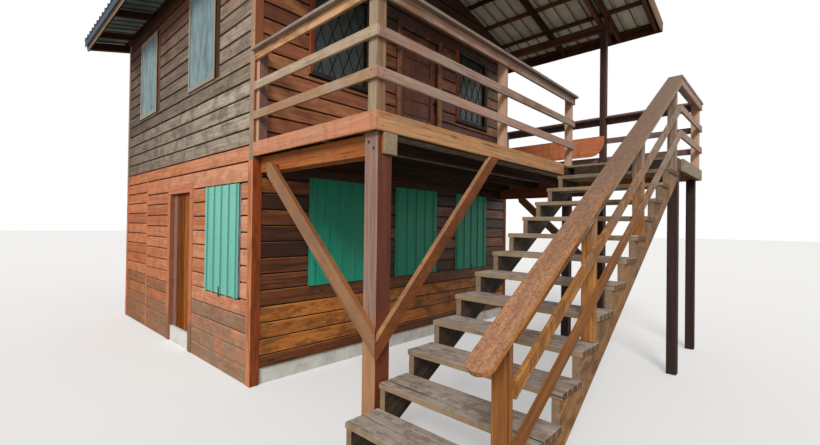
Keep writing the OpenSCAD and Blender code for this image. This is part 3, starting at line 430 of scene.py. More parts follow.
def makeBoardTree(name, cuts):
    # One board on each point, cut to its own size, turned, worn a little and chamfered on top.
    # cuts is how many rows of points a board has along X, Y and Z
    tree, add, given = newTree(name, {
        "Chamfer": "Float", "Wear": "Float", "Wear length": "Float", "Finish": "Material"})
    at = add("GeometryNodeInputPosition")
    blank = add("GeometryNodeMeshCube", {
        "Size": (1, 1, 1), "Vertices X": cuts[0], "Vertices Y": cuts[1], "Vertices Z": cuts[2]})
    points, unit = (
        add("GeometryNodeStoreNamedAttribute", {
            "Geometry": shape, "Name": key, "Value": at}, data_type="FLOAT_VECTOR")
        for shape, key in ((given["Geometry"], "centre"), (blank, "unitAt")))
    copies = add("GeometryNodeInstanceOnPoints", {"Points": points, "Instance": unit})
    shape = add("GeometryNodeRealizeInstances", {"Geometry": copies})
    unitAt, size, turn, centre = (
        add("GeometryNodeInputNamedAttribute", {"Name": key}, data_type="FLOAT_VECTOR")
        for key in ("unitAt", "size", "turn", "centre"))
    local = add("VectorMath", {0: unitAt, 1: size}, operation="MULTIPLY")
    unitParts, sizeParts, localParts = (add("SeparateXYZ", {0: v}).outputs for v in (unitAt, size, local))
    # the outer top edge leans back by the chamfer, and the row under the top moves up to its start
    isTop, isUpper, isOuter = (
        add("FunctionNodeCompare", {0: unitParts[axis], 1: limit}, operation=test) for axis, test, limit in (
            ("Z", "GREATER_THAN", 0.45), ("Z", "GREATER_THAN", 0.1), ("Y", "LESS_THAN", -0.45)))
    topOuter = add("FunctionNodeBooleanMath", {0: isTop, 1: isOuter}, operation="AND")
    underTop = add("FunctionNodeBooleanMath", {0: isUpper, 1: isTop}, operation="NIMPLY")
    leanBack = add("GeometryNodeSwitch", {
        "Switch": topOuter, "False": 0.0, "True": given["Chamfer"]}, input_type="FLOAT")
    newY = add("Math", {0: localParts["Y"], 1: leanBack}, operation="ADD")
    halfTall = add("Math", {0: sizeParts["Z"], 1: 0.5}, operation="MULTIPLY")
    chamferZ = add("Math", {0: halfTall, 1: given["Chamfer"]}, operation="SUBTRACT")
    newZ = add("GeometryNodeSwitch", {
        "Switch": underTop, "False": localParts["Z"], "True": chamferZ}, input_type="FLOAT")
    shaped = add("CombineXYZ", {"X": localParts["X"], "Y": newY, "Z": newZ})
    # wear: a slow noise that pushes the faces in and out
    grain = shiftedGrain(add, shaped)
    rate = add("Math", {0: 1.0, 1: given["Wear length"]}, operation="DIVIDE")
    noise = add("TexNoise", {"Vector": grain, "Scale": rate, "Detail": 2.0})
    centred = add("VectorMath", {0: noise.outputs[1], 1: (0.5, 0.5, 0.5)}, operation="SUBTRACT")
    push = add("VectorMath", {0: centred, "Scale": given["Wear"]}, operation="SCALE")
    worn = add("VectorMath", {0: shaped, 1: push}, operation="ADD")
    turned = add("VectorRotate", {"Vector": worn, "Rotation": turn}, rotation_type="EULER_XYZ")
    final = add("VectorMath", {0: turned, 1: centre}, operation="ADD")
    rise = add("Math", {0: unitParts["Z"], 1: 0.5}, operation="ADD")
    for key, kind, value in (("rise", "FLOAT", rise), ("grainAt", "FLOAT_VECTOR", grain)):
        shape = add("GeometryNodeStoreNamedAttribute", {
            "Geometry": shape, "Name": key, "Value": value}, data_type=kind)
    moved = add("GeometryNodeSetPosition", {"Geometry": shape, "Position": final})
    finished = add("GeometryNodeSetMaterial", {"Geometry": moved, "Material": given["Finish"]})
    add("NodeGroupOutput", {"Geometry": finished})
    return tree


def makeStudTree():
    # One round head on each point, turned to face out of its surface
    tree, add, given = newTree("studHeads", {"Radius": "Float", "Height": "Float", "Finish": "Material"})
    topRadius = add("Math", {0: given["Radius"], 1: 0.6}, operation="MULTIPLY")
    head = add("GeometryNodeMeshCone", {
        "Vertices": 8, "Radius Top": topRadius, "Radius Bottom": given["Radius"], "Depth": given["Height"]})
    turnAt = add("GeometryNodeInputNamedAttribute", {"Name": "turn"}, data_type="FLOAT_VECTOR")
    turn = add("FunctionNodeEulerToRotation", {0: turnAt})
    copies = add("GeometryNodeInstanceOnPoints", {
        "Points": given["Geometry"], "Instance": head, "Rotation": turn})
    real = add("GeometryNodeRealizeInstances", {"Geometry": copies})
    finished = add("GeometryNodeSetMaterial", {"Geometry": real, "Material": given["Finish"]})
    add("NodeGroupOutput", {"Geometry": finished})
    return tree


grainTree = makeGrainTree()
boardTree = makeBoardTree("lappedBoards", (2, 2, 4))
plankTree = makeBoardTree("wornPlanks", (24, 3, 3))
studTree = makeStudTree()


def setInputs(modifier, values):
    for item in modifier.node_group.interface.items_tree:
        if item.item_type == "SOCKET" and item.in_out == "INPUT" and item.name in values:
            modifier[item.identifier] = values[item.name]


def soften(thing, widthMm, angle):
    # rounds the edges that turn by more than the angle
    bevel = thing.modifiers.new("soften", "BEVEL")
    bevel.width = widthMm * mm
    bevel.segments = 2
    bevel.limit_method = "ANGLE"
    bevel.angle_limit = math.radians(angle)


def linkObject(name, data):
    thing = bpy.data.objects.new(name, data)
    bpy.context.scene.collection.objects.link(thing)
    return thing


def keepPiece(name, mesh, body):
    piece = linkObject(name, mesh)
    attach(piece, body)
    return piece


def board(at, size, turn=(0, 0, 0), tone=0.5):
    # one board's middle, its size along its own axes, its turn and its tone
    return {"at": at, "size": size, "turn": turn, "tone": tone}


def pointCloud(name, rows):
    # rows are boards, or studs that have only at and turn
    mesh = bpy.data.meshes.new(name)
    mesh.from_pydata([row["at"] for row in rows], [], [])
    for key in ("size", "turn"):
        values = [c for row in rows for c in row.get(key, (0, 0, 0))]
        mesh.attributes.new(key, "FLOAT_VECTOR", "POINT").data.foreach_set("vector", values)
    tones = [row.get("tone", 0) for row in rows]
    mesh.attributes.new("tone", "FLOAT", "POINT").data.foreach_set("value", tones)
    return mesh


def growPiece(name, tree, rows, values, body, bevelMm=0.0):
    # runs a tree on its points, and keeps the result as a plain mesh
    source = linkObject(name + "Points", pointCloud(name, rows))
    grow = source.modifiers.new("grow", "NODES")
    grow.node_group = tree
    setInputs(grow, values)
    if bevelMm:
        soften(source, bevelMm, 50)
    graph = bpy.context.evaluated_depsgraph_get()
    mesh = bpy.data.meshes.new_from_object(
        source.evaluated_get(graph), preserve_all_data_layers=True, depsgraph=graph)
    bpy.data.objects.remove(source)
    return keepPiece(name, mesh, body)


def growBoards(name, rows, finish, wearMm=0.0, wearLength=0.4, chamferMm=0.0, tree=boardTree,
               body="root", bevelMm=0.0):
    return growPiece(name, tree, rows, {
        "Chamfer": chamferMm * mm, "Wear": wearMm * mm, "Wear length": wearLength, "Finish": finish},
        body, bevelMm)


def growStuds(name, rows, radiusMm, heightMm):
    return growPiece(name, studTree, rows, {
        "Radius": radiusMm * mm, "Height": heightMm * mm, "Finish": rustyIron}, "root")


# The house, read from the frame

leftPosts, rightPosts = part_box("lower_wall_posts")
leftX, frontY = leftPosts.xy
rightX, backY, lowerTop = rightPosts
upperLow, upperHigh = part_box("left_wall_upper")
floorZ, wallTop = upperLow.z, upperHigh.z
cornerPost, cornerBoard = 100 * mm, 90 * mm
boardDepth = upperLow.x - leftX
roofPitch = math.radians(13)
plateTop = wallTop + 100 * mm
quarter = math.pi / 2


def solidBoxes(node):
    # the box of each loose solid in a frame node
    shape = bmesh.new()
    shape.from_mesh(cadNodes[node].data)
    bmesh.ops.remove_doubles(shape, verts=shape.verts, dist=0.1 * mm)
    seen, boxes = set(), []
    for start in shape.verts:
        if start in seen:
            continue
        seen.add(start)
        reached = [start]
        for vertex in reached:
            others = [edge.other_vert(vertex) for edge in vertex.link_edges]
            fresh = [other for other in others if other not in seen]
            seen.update(fresh)
            reached += fresh
        boxes.append([Vector(pick(axis) for axis in zip(*(v.co for v in reached))) for pick in (min, max)])
    shape.free()
    return sorted(boxes, key=lambda box: [round(c, 3) for c in box[0]])


# Lapped boards

siding = {
    "course": 166 * mm,  # height of a course
    "thick": 20 * mm,
    "gap": 17 * mm,  # gap between courses, dark with the painted shade of the wall behind
    "chamferMm": 12,
    "jointShare": 0.3,  # courses with a butt joint
    "stud": 600 * mm,  # butt joints and nails fall on studs this far apart
}

wallFaces = {
    # outward turn about Z, and how a distance along the wall and a depth become a place
    "front": (0.0, lambda u, d: (u, frontY + d)),
    "back": (math.pi, lambda u, d: (u, backY - d)),
    "left": (-quarter, lambda u, d: (leftX + d, u)),
    "right": (quarter, lambda u, d: (rightX - d, u)),
}


def courses(bottom, top):
    # levels of the board joints, measured down from the top
    levels = [top]
    while levels[0] - siding["course"] > bottom + 0.35 * siding["course"]:
        levels.insert(0, levels[0] - siding["course"])
    return [bottom] + levels


def evenLevels(bottom, top, count):
    return [bottom + (top - bottom) * k / count for k in range(count + 1)]


def cutAround(run, z0, z1, holes):
    # splits a course round the holes; holes are (from, to, low, high)
    pieces, spans = [], [run]
    for a, b, low, high in holes:
        if high <= z0 + 2 * mm or low >= z1 - 2 * mm:
            continue
        cut = []
        for s, e in spans:
            if b <= s or a >= e:
                cut.append((s, e))
                continue
            cut += [part for part in ((s, a), (b, e)) if part[0] < part[1]]
            inner = (max(a, s), min(b, e))
            if low > z0 + 15 * mm:
                pieces.append((*inner, z0, low))
            if high < z1 - 15 * mm:
                pieces.append((*inner, high, z1))
        spans = cut
    return pieces + [(s, e, z0, z1) for s, e in spans]


def boardRows(face, run, levels, holes, seed, tones):
    # the boards of one bay and their nails; tones gives the span of tones at a height
    turn, place = wallFaces[face]
    rng = random.Random(seed)
    rows, nails = [], []
    for z0, z1 in zip(levels, levels[1:]):
        for start, end, low, high in cutAround(run, z0, z1, holes):
            joints = [start, end]
            if end - start > 3 and rng.random() < siding["jointShare"]:
                studs = int((end - start) / siding["stud"])
                joints.insert(1, start + siding["stud"] * rng.randint(1, studs - 1))
            for a, b in zip(joints, joints[1:]):
                x, y = place((a + b) / 2, boardDepth - siding["thick"] / 2 - rng.uniform(0, 1.5) * mm)
                rows.append(board(
                    (x, y, (low + high - siding["gap"]) / 2),
                    (b - a - 2 * mm, siding["thick"], high - low - siding["gap"]),
                    (rng.uniform(-0.002, 0.002), 0, turn), rng.uniform(*tones((low + high) / 2))))
                count = max(2, round((b - a) / siding["stud"]) + 1)
                for k in range(count):
                    u = a + 30 * mm + (b - a - 60 * mm) * k / (count - 1)
                    x, y = place(u + rng.uniform(-4, 4) * mm, boardDepth - siding["thick"] - 1.5 * mm)
                    nails.append({"at": (x, y, low + rng.uniform(26, 34) * mm), "turn": (quarter, 0, turn)})
    return rows, nails


def shutterHoles(node, axis, side, margin=60 * mm, near=60 * mm):
    # the openings behind the shutters of one wall, from the boxes of the shutters; near is the
    # margin on the side towards the porch
    return [(low[axis] + near, high[axis] - margin, low.z + margin, high.z - margin)
            for low, high in solidBoxes(node) if abs((low + high)[1 - axis] / 2 - side) < 0.2]


allNails = []


def cladWall(name, face, bays, holes, seed, tones=lambda z: (0.0, 1.0), finish=orangeBoards):
    # bays are runs of boards with the levels of their joints
    rows = []
    for k, (run, levels) in enumerate(bays):
        bayRows, nails = boardRows(face, run, levels, holes, seed * 10 + k, tones)
        rows += bayRows
        allNails.extend(nails)
    return growBoards(name, rows, finish, 1.5, 0.6, siding["chamferMm"])


def porchTone(z):
    # amber boards low down, brown ones above them, partly painted shade of the deck, and one dull one at the
    # foot
    if z > 0.75:
        return 0.05, 0.6
    return (0.65, 1.0) if z > 0.32 else (0.25, 0.4)


def splashTone(z):
    # the boards that rain splashes are greyed
    return (0.1, 0.65) if z < 0.75 else (0.45, 0.95)


def eaveTone(z):
    # the low boards bleach most
    return (0.15, 0.6) if z > 3.1 else (0.25, 0.85)


casingLow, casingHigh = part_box("entry_door_frame")
batten = max(solidBoxes("lower_wall_posts"), key=lambda b: b[0].y if b[1].x - b[0].x < 0.05 else -99)
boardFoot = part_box("front_wall_lower")[0].z + 2 * mm
innerX, innerY = (leftX + cornerPost, rightX - cornerPost), (frontY + cornerPost, backY - cornerPost)
upperX, upperY = (leftX + cornerBoard, rightX - cornerBoard), (frontY + cornerBoard, backY - cornerBoard)
doorHole = (casingLow.y - 13 * mm, casingHigh.y + 1 * mm, -0.1, casingHigh.z + 1 * mm)
battenHole = (batten[0].y - 1 * mm, batten[1].y + 1 * mm, -0.1, batten[1].z)

# the left wall is boarded in three bays, each with courses of its own height, under one wide board
wideLow, groundGap = lowerTop - 210 * mm, 4 * mm
leftBays = [
    ((batten[1].y, innerY[1]), evenLevels(groundGap, lowerTop, 14)),
    ((casingHigh.y, batten[0].y), evenLevels(groundGap, wideLow, 13)),
    ((innerY[0], casingLow.y), evenLevels(groundGap, wideLow, 12)),
    ((innerY[0], batten[0].y), [wideLow, lowerTop])]
leftHoles, rightHoles = (
    shutterHoles("lower_shutters", 1, side, -2 * mm, -40 * mm) for side in (leftX, rightX))
cladWall("left_boards_lower", "left", leftBays, leftHoles + [doorHole, battenHole], 3, splashTone)
cladWall("right_boards_lower", "right", [(innerY, evenLevels(groundGap, lowerTop, 13))],
         rightHoles, 4, splashTone)
cladWall("back_boards_lower", "back", [(innerX, courses(boardFoot, lowerTop))], [], 5, splashTone)
cladWall("front_boards_lower", "front", [(innerX, courses(boardFoot, lowerTop + 10 * mm))],
         shutterHoles("lower_shutters", 0, frontY), 6, porchTone, amberBoards)

# one wide board covers the edge of the upper floor between the storeys
bandTop = floorZ - 4 * mm
for face, run, seed in (("left", upperY, 11), ("right", upperY, 12), ("back", upperX, 13)):
    cladWall(face + "_band_board", face, [(run, [lowerTop, bandTop])], [], seed, lambda z: (0.6, 0.9))

# under the eaves the boards stop at a frieze board, dark as painted shade
friezeLow = wallTop - 120 * mm
for face, side, seed in (("left", leftX, 14), ("right", rightX, 15)):
    cladWall(face + "_boards_upper", face, [(upperY, evenLevels(bandTop, friezeLow, 13))],
             shutterHoles("upper_shutters", 1, side), seed, eaveTone, greyBoards)
    cladWall(face + "_frieze", face, [(upperY, [friezeLow, wallTop])], [], seed + 4, finish=sawnTimber)


def slopeReach(z):
    # how far from the middle the roof's slope stands at a height
    return rightX - (z - plateTop) / math.tan(roofPitch)


def cladGable(name, face, holes, finish, seed):
    # a course above the wall plates reaches as far as the slope of the roof
    apex = plateTop + rightX * math.tan(roofPitch)
    levels = courses(bandTop, wallTop) + [wallTop + siding["course"] * k for k in range(1, 5)]
    levels = [z for z in levels if z < apex - 20 * mm] + [apex]
    rows, nails = [], []
    for z0, z1 in zip(levels, levels[1:]):
        half = upperX[1] if z0 < wallTop - 5 * mm else min(rightX - 96 * mm, slopeReach(max(z0, plateTop)))
        moreRows, moreNails = boardRows(
            face, (-half, half), [z0, z1], holes, seed * 100 + int(z0 * 100), lambda z: (0.0, 1.0))
        rows += moreRows
        nails += moreNails
    piece = growBoards(name, rows, finish, 1.5, 0.6, siding["chamferMm"])
    allNails.extend(nail for nail in nails if abs(nail["at"][0]) < slopeReach(nail["at"][2]) - 60 * mm)
    # the ends are sawn to the slope of the roof
    shape = bmesh.new()
    shape.from_mesh(piece.data)
    for side in (-1, 1):
        corner = Vector((side * rightX, 0, plateTop - 3 * mm))
        slopeNormal = Vector((side * math.sin(roofPitch), 0, math.cos(roofPitch)))
        cut = bmesh.ops.bisect_plane(
            shape, geom=shape.verts[:] + shape.edges[:] + shape.faces[:], plane_co=corner,
            plane_no=slopeNormal, clear_outer=True)
        edges = [e for e in cut["geom_cut"] if isinstance(e, bmesh.types.BMEdge)]
        bmesh.ops.holes_fill(shape, edges=edges, sides=8)
    shape.to_mesh(piece.data)
    shape.free()


frameHoles = [(low.x - 9 * mm, high.x + 9 * mm, low.z - 8 * mm, high.z + 8 * mm)
              for low, high in solidBoxes("front_frames")]
cladGable("front_boards_upper", "front", frameHoles, redBoards, 16)
cladGable("back_boards_upper", "back", shutterHoles("upper_shutters", 0, backY), greyBoards,
          17)
growStuds("siding_nails", allNails, 3.2, 2)
print("walls boarded,", len(allNails), "nails")


# Deck, landing and treads

planks = {"width": 140 * mm, "gap": 6 * mm, "wearMm": 3, "wearLength": 0.16, "bevelMm": 4, "treadWearMm": 5}


def deckRows(low, high, seed, newel=None):
    # planks across a deck; those before the newel's far side start behind it
    rng = random.Random(seed)
    rows, x = [], low.x
    while x < high.x - 20 * mm:
        width, y0 = min(planks["width"], high.x - x), low.y
        if newel and x < newel[0]:
            width, y0 = newel[0] - x - planks["gap"], newel[1]
        rows.append(board(
            (x + width / 2, (y0 + high.y) / 2, (low.z + high.z) / 2 - 1.5 * mm),
            (high.y - y0 - 3 * mm, width, high.z - low.z - 4 * mm), (0, 0, quarter), rng.random()))
        x += width + planks["gap"]
    return rows


def layPlanks(name, rows, replaced, wearMm=planks["wearMm"], bevelMm=planks["bevelMm"]):
    piece = growBoards(
        name, rows, treadTimber, wearMm, planks["wearLength"], tree=plankTree, bevelMm=bevelMm)
    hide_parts(replaced)


deckBox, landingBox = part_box("deck_boards"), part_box("landing_boards")
newelCut = (landingBox[0].x + 90 * mm, landingBox[0].y + 95 * mm)
layPlanks("deck_planks", deckRows(*deckBox, 31), "deck_boards")
layPlanks("landing_planks", deckRows(*landingBox, 32, newelCut), "landing_boards")

rng = random.Random(33)
treadRows = []
for low, high in solidBoxes("stair_treads"):
    middle, span = (low + high) / 2, high - low
    width = (span.x - 5 * mm) / 2
    for x in (low.x + width / 2, high.x - width / 2):
        treadRows.append(board(
            (x, middle.y, middle.z - 1 * mm), (span.y - 2 * mm, width, span.z - 4 * mm),
            (rng.uniform(-0.008, 0.008), rng.uniform(-0.001, 0.001), quarter), rng.random()))
layPlanks("tread_planks", treadRows, "stair_treads", planks["treadWearMm"], 5)
print("decks planked")


# Finishes of the frame's own nodes

stairSlope = math.atan2(2450 / 14, 295)
alongX, alongY, alongZ = (0, 0, 0), (0, 0, -quarter), (0, quarter, 0)
upStair = (0, stairSlope, 0)
rightSlope, leftSlope = (0, -roofPitch, 0), (0, roofPitch, 0)
frontBrace = (0, math.radians(45.5), 0)
braceCos, braceSin = math.cos(math.radians(42)), math.sin(math.radians(42))
sideBrace = tuple(Matrix(((0, braceCos, braceSin), (-1, 0, 0), (0, -braceSin, braceCos))).to_euler())
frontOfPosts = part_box("deck_posts")[0].y

timberFinishes = {
    # node: material, grain turn, bevel in mm, and a second turn past a plane where pieces lie both ways
    "lower_wall_posts": (cornerTimber, alongZ, 3),
    # the walls behind the boards are near-black, painted shade for the gaps
    "front_wall_lower": (gapShadeTimber, alongX, 0), "left_wall_lower_front": (gapShadeTimber, alongY, 0),
    "left_wall_lower_rear": (gapShadeTimber, alongY, 0), "left_wall_over_door": (gapShadeTimber, alongY, 0),
    "right_wall_lower": (gapShadeTimber, alongY, 0), "back_wall_lower": (gapShadeTimber, alongX, 0),
    "entry_door_frame": (casingTimber, alongY, 2, alongZ, (0, 0, 1), 2.03),
    "entry_door": (doorTimber, alongZ, 2),
    "floor_joists": (sawnTimber, alongX, 2), "floor_rims": (sawnTimber, alongY, 2),
    "upper_floor": (sawnTimber, alongX, 0),
    "upper_corner_boards": (boardedCorner, alongZ, 2),
    "front_wall_upper": (gapShadeTimber, alongX, 0), "left_wall_upper": (gapShadeTimber, alongY, 0),
    "right_wall_upper": (gapShadeTimber, alongY, 0), "back_wall_upper": (gapShadeTimber, alongX, 0),
    "front_frames": (redBoards, alongZ, 3), "upper_door": (panelDoorTimber, alongZ, 3),
    "deck_posts": (deckPostTimber, alongZ, 4),
    "deck_braces": (braceTimber, sideBrace, 4, frontBrace, (0, 1, 0), frontOfPosts),
    "deck_beams": (beamTimber, alongY, 4), "deck_joists": (deckUnderTimber, alongX, 2),
    "side_fascias": (fasciaTimber, alongY, 2.5), "front_fascias": (tanTimber, alongX, 2.5),
    "stair_stringers": (stringerTimber, upStair, 3), "stair_posts": (stairTimber, alongZ, 3),
    "stair_rails": (stairTimber, upStair, 3), "stair_handrail": (handrailTimber, upStair, 7),
    "balustrade_posts": (rosyPostTimber, alongZ, 3), "side_rails": (railTimber, alongY, 3),
    "front_rails": (frontRailTimber, alongX, 3), "side_caps": (capTimber, alongY, 5),
    "front_caps": (capTimber, alongX, 5), "side_board": (cornerTimber, alongY, 3),
    "roof_posts": (roofPostTimber, alongZ, 3), "wall_plates": (sawnTimber, alongY, 2),
    "rafters": (sawnTimber, rightSlope, 2, leftSlope, (1, 0, 0), 0.0),
    "ridge_board": (sawnTimber, alongY, 2), "purlins": (sawnTimber, alongY, 2),
    "barge_boards": (bargeTimber, rightSlope, 2.5, leftSlope, (1, 0, 0), 0.0),
    "eave_boards": (bargeTimber, alongY, 2.5),
}
plainFinishes = {
    "ground_slab": concrete, "lower_shutters": tealSheet, "upper_shutters": palePaint,
    "window_panes": darkGlass, "roof_sheets": roofMetal, "ridge_cap": roofMetal,
    "deck_boards": treadTimber, "landing_boards": treadTimber, "stair_treads": treadTimber,
}

for node, material in {**{n: row[0] for n, row in timberFinishes.items()}, **plainFinishes}.items():
    cadNodes[node].data.materials.clear()
    cadNodes[node].data.materials.append(material)
for seed, (node, (_, turn, bevel, *split)) in enumerate(timberFinishes.items()):
    second, axis, splitAt = split or (turn, (1, 0, 0), -99.0)
    grain = cadNodes[node].modifiers.new("grain", "NODES")
    grain.node_group = grainTree
    setInputs(grain, {
        "Grain turn": turn, "Second turn": second, "Split axis": axis, "Split at": splitAt, "Seed": seed})
    if bevel:
        soften(cadNodes[node], bevel, 30)

stairMiddleY = sum(v.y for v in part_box("stair_treads")) / 2
# other materials for the faces whose middle and outward direction pass a test, the later ones on top
for node, material, test in (
        # painted shade on the stringers' faces under the treads
        ("stair_stringers", shadedStringer, lambda at, out: at.y > stairMiddleY and abs(out.y) > 0.5),
        ("stair_stringers", shadedStringer, lambda at, out: at.y < stairMiddleY and out.y > 0.5),
        ("roof_posts", cornerRailPost, lambda at, out: at.x < 0),
        ("eave_boards", sawnTimber, lambda at, out: out.x * at.x < 0),
        ("barge_boards", sawnTimber, lambda at, out: abs(out.y) > 0.5 and out.y * at.y < 0),
        # painted shade on the end post's faces turned from the light, and on the far side's rails and caps
        ("balustrade_posts", endPostTimber, lambda at, out: at.x < -2.3 and out.x > -0.5),
        ("side_rails", farRailTimber, lambda at, out: at.x > 0),
        ("side_caps", farRailTimber, lambda at, out: at.x > 0),
        ("deck_posts", roofPostTimber, lambda at, out: at.x > 0),
        ("front_fascias", beamEndTimber, lambda at, out: at.y < landingBox[0].y + 0.2),
        ("deck_beams", beamEndTimber, lambda at, out: out.y < -0.9),
        ("front_frames", windowTimber, lambda at, out: abs(at.x) > 0.6),
        ("front_frames", cornerTimber, lambda at, out: at.x < -1.79 or 0.8 < at.x < 0.93),
        ("entry_door_frame", panelDoorTimber, lambda at, out: abs(out.y) > 0.9 and -0.7 < at.y < 0.1),
        ("side_rails", tanTimber, lambda at, out: at.x < 0 and at.z > 3.25),
        ("upper_shutters", sawnTimber, lambda at, out: abs(at.x) > 2.4 and out.y < -0.9),
        ("lower_shutters", shutterEdgePaint, lambda at, out: abs(at.x) > 2.4 and out.y < -0.9)):
    data = cadNodes[node].data
    data.materials.append(material)
    for polygon in data.polygons:
        if test(polygon.center, polygon.normal):
            polygon.material_index = len(data.materials) - 1
print("frame finished")


# Window lattice: crossing bars set in diamonds

lattice = {"wide": 165 * mm, "tall": 400 * mm, "bar": 8 * mm, "thick": 5 * mm, "inset": 28 * mm}


def clipLine(point, direction, low, high):
    # the stretch of a line inside a rectangle
    start, end = -9.0, 9.0
    for i in range(2):
        a, b = sorted(((low[i] - point[i]) / direction[i], (high[i] - point[i]) / direction[i]))
        start, end = max(start, a), min(end, b)
    return start, end


latticeRows = []
inset = lattice["inset"]
for low, high in solidBoxes("window_panes"):
    y = low.y - lattice["thick"] / 2
    a, b = (low.x + inset, low.z + inset), (high.x - inset, high.z - inset)
    reach = (b[1] - a[1]) * lattice["wide"] / lattice["tall"]
    for sign in (-1, 1):
        direction = Vector((lattice["wide"], sign * lattice["tall"])).normalized()
        x = a[0] - reach
        while x < b[0] + reach:
            base = (x, a[1] if sign > 0 else b[1])
            s, e = clipLine(base, direction, a, b)
            if e - s > 20 * mm:
                centre = Vector(base) + direction * (s + e) / 2
                latticeRows.append(board(
                    (centre[0], y - (1 + sign) * 1.5 * mm, centre[1]),
                    (e - s, lattice["thick"], lattice["bar"]),
                    (0, -math.atan2(direction[1], direction[0]), 0)))
            x += lattice["wide"]
growBoards("window_lattice", latticeRows, latticeLead)
print("windows dressed")


# Shutters: boarded panels inside the frames, casings and screws

shutterLook = {
    "frame": 55 * mm, "board": 178 * mm, "proud": 6 * mm, "panelOut": 31 * mm,
    "casing": 100 * mm, "casingThick": 22 * mm, "screwMm": 5, "screwPitch": 190 * mm,
}


def onWall(face, u, out, z):
    # a place on a wall, so far out from the plane that its boards stand on
    return (*wallFaces[face][1](u, boardDepth - out), z)


def shutterSpans(node):
    # each shutter's wall, the turn of that wall, and its reach along the wall and in height
    for low, high in solidBoxes(node):
        middle = (low + high) / 2
        if high.x - low.x < high.y - low.y:
            face, a, b = ("left" if middle.x < 0 else "right"), low.y, high.y
        else:
            face, a, b = ("front" if middle.y < 0 else "back"), low.x, high.x
        yield face, wallFaces[face][0], a, b, low.z, high.z


rng = random.Random(51)
panelRows, casingRows = [], []
for face, turn, a, b, z0, z1 in shutterSpans("upper_shutters"):
    panelWide, panelTall = b - a - 2 * shutterLook["frame"], z1 - z0 - 2 * shutterLook["frame"]
    count = round(panelWide / shutterLook["board"])
    width = panelWide / count
    for k in range(count):
        at = onWall(
            face, a + shutterLook["frame"] + (k + 0.5) * width, shutterLook["panelOut"], (z0 + z1) / 2)
        panelRows.append(board(
            at, (width - 2.5 * mm, shutterLook["proud"], panelTall - 1 * mm), (0, 0, turn), rng.random()))
    # a casing on each long side, but for the one that a corner takes the place of
    for u in (a - shutterLook["casing"] / 2 - 2 * mm, b + shutterLook["casing"] / 2 + 2 * mm):
        if face == "left" and u > b:
            continue
        casingRows.append(board(
            onWall(face, u, 13 * mm, (z0 + z1) / 2),
            (z1 - z0, shutterLook["casingThick"], shutterLook["casing"]),
            (0, -quarter, turn), rng.random()))
growBoards("upper_shutter_boards", panelRows, bluePaint, 1.0)
growBoards("upper_shutter_casings", casingRows, sawnTimber, 1.5)

# three rows of screws fasten each ribbed sheet, and a hasp closes it
screwRows, haspRows = [], []
for face, turn, a, b, z0, z1 in shutterSpans("lower_shutters"):
    pitch, middle = shutterLook["screwPitch"], (a + b) / 2
    ribs = int((b - a - 62 * mm) / pitch)
    first = a + (b - a - ribs * pitch) / 2
    for z in (z0 + 90 * mm, (z0 + z1) / 2, z1 - 90 * mm):
        for k in range(ribs):
            u = first + (k + 0.5) * pitch + rng.uniform(-3, 3) * mm
            screwRows.append({
                "at": onWall(face, u, 32 * mm, z + rng.uniform(-3, 3) * mm), "turn": (quarter, 0, turn)})
    for out, z, size in ((42 * mm, z0 + 25 * mm, (20 * mm, 12 * mm, 110 * mm)),
                         (10 * mm, z0 - 45 * mm, (60 * mm, 20 * mm, 24 * mm))):
        haspRows.append(board(onWall(face, middle, out, z), size, (0, 0, turn)))
growStuds("shutter_screws", screwRows, shutterLook["screwMm"], 3)
growBoards("shutter_hasps", haspRows, rustyIron)
print("shutters dressed")


# Entry door: upright boards on its outer face, which turn with the leaf

doorLow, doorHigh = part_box("entry_door")
doorBoards = [(0.14, "grey"), (0.29, "amber"), (0.29, "amber")]
doorY, doorRows = doorHigh.y - 2 * mm, {"grey": [], "amber": []}
doorSpan = doorHigh.y - doorLow.y - 4 * mm
for share, kind in doorBoards:
    width = doorSpan * share / 0.72
    doorRows[kind].append(board(
        (doorLow.x + 1 * mm, doorY - width / 2, (doorLow.z + doorHigh.z) / 2),
        (doorHigh.z - doorLow.z - 6 * mm, 8 * mm, width - 5 * mm), (0, -quarter, -quarter),
        rng.uniform(0.3, 0.9)))
    doorY -= width
for kind, finish in (("grey", endPostTimber), ("amber", doorTimber)):
    growBoards("entry_door_boards_" + kind, doorRows[kind], finish, 1.0,
               body="entry_door_leaf")
print("entry door boarded")


# Upper door: a moulding round each sunk panel, a ledge between them, and a pull

panelLow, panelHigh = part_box("upper_door")
stile, doorRail = 175 * mm, 105 * mm
panelTall = (panelHigh.z - floorZ - 2 * stile - 2 * doorRail) / 3
mouldRows = []
x0, x1 = panelLow.x + stile, panelHigh.x - stile
for k in range(3):
    z0 = floorZ + stile + k * (panelTall + doorRail)
    z1 = z0 + panelTall
    y = panelLow.y + 3 * mm
    for z in (z0 + 11 * mm, z1 - 11 * mm, (z0 + z1) / 2):
        mouldRows.append(board(((x0 + x1) / 2, y, z), (x1 - x0, 18 * mm, 20 * mm), tone=rng.random()))
    for x in (x0 + 11 * mm, x1 - 11 * mm):
        mouldRows.append(board((x, y, (z0 + z1) / 2), (20 * mm, 16 * mm, z1 - z0), tone=rng.random()))
growBoards("upper_door_mouldings", mouldRows, panelDoorTimber, 0.5, chamferMm=5, bevelMm=2)
pullRows = [
    board((panelHigh.x - stile / 2, panelLow.y - 5 * mm, z), (wide, 10 * mm, tall))
    for z, tall, wide in ((floorZ + 0.98, 170 * mm, 34 * mm), (floorZ + 1.02, 30 * mm, 90 * mm))]
growBoards("upper_door_pull", pullRows, latticeLead, chamferMm=2, bevelMm=2)
print("upper door dressed")


# Eave shade: a strip folded like the roof's sheet in front of each eave board, dark slate blue as painted
# shade under the sheet's overhang

overhangShade = {"drop": 118 * mm, "rib": 76 * mm, "deep": 10 * mm, "shallow": 1.5 * mm}
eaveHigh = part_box("eave_boards")[1]
sheetLow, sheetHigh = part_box("roof_sheets")


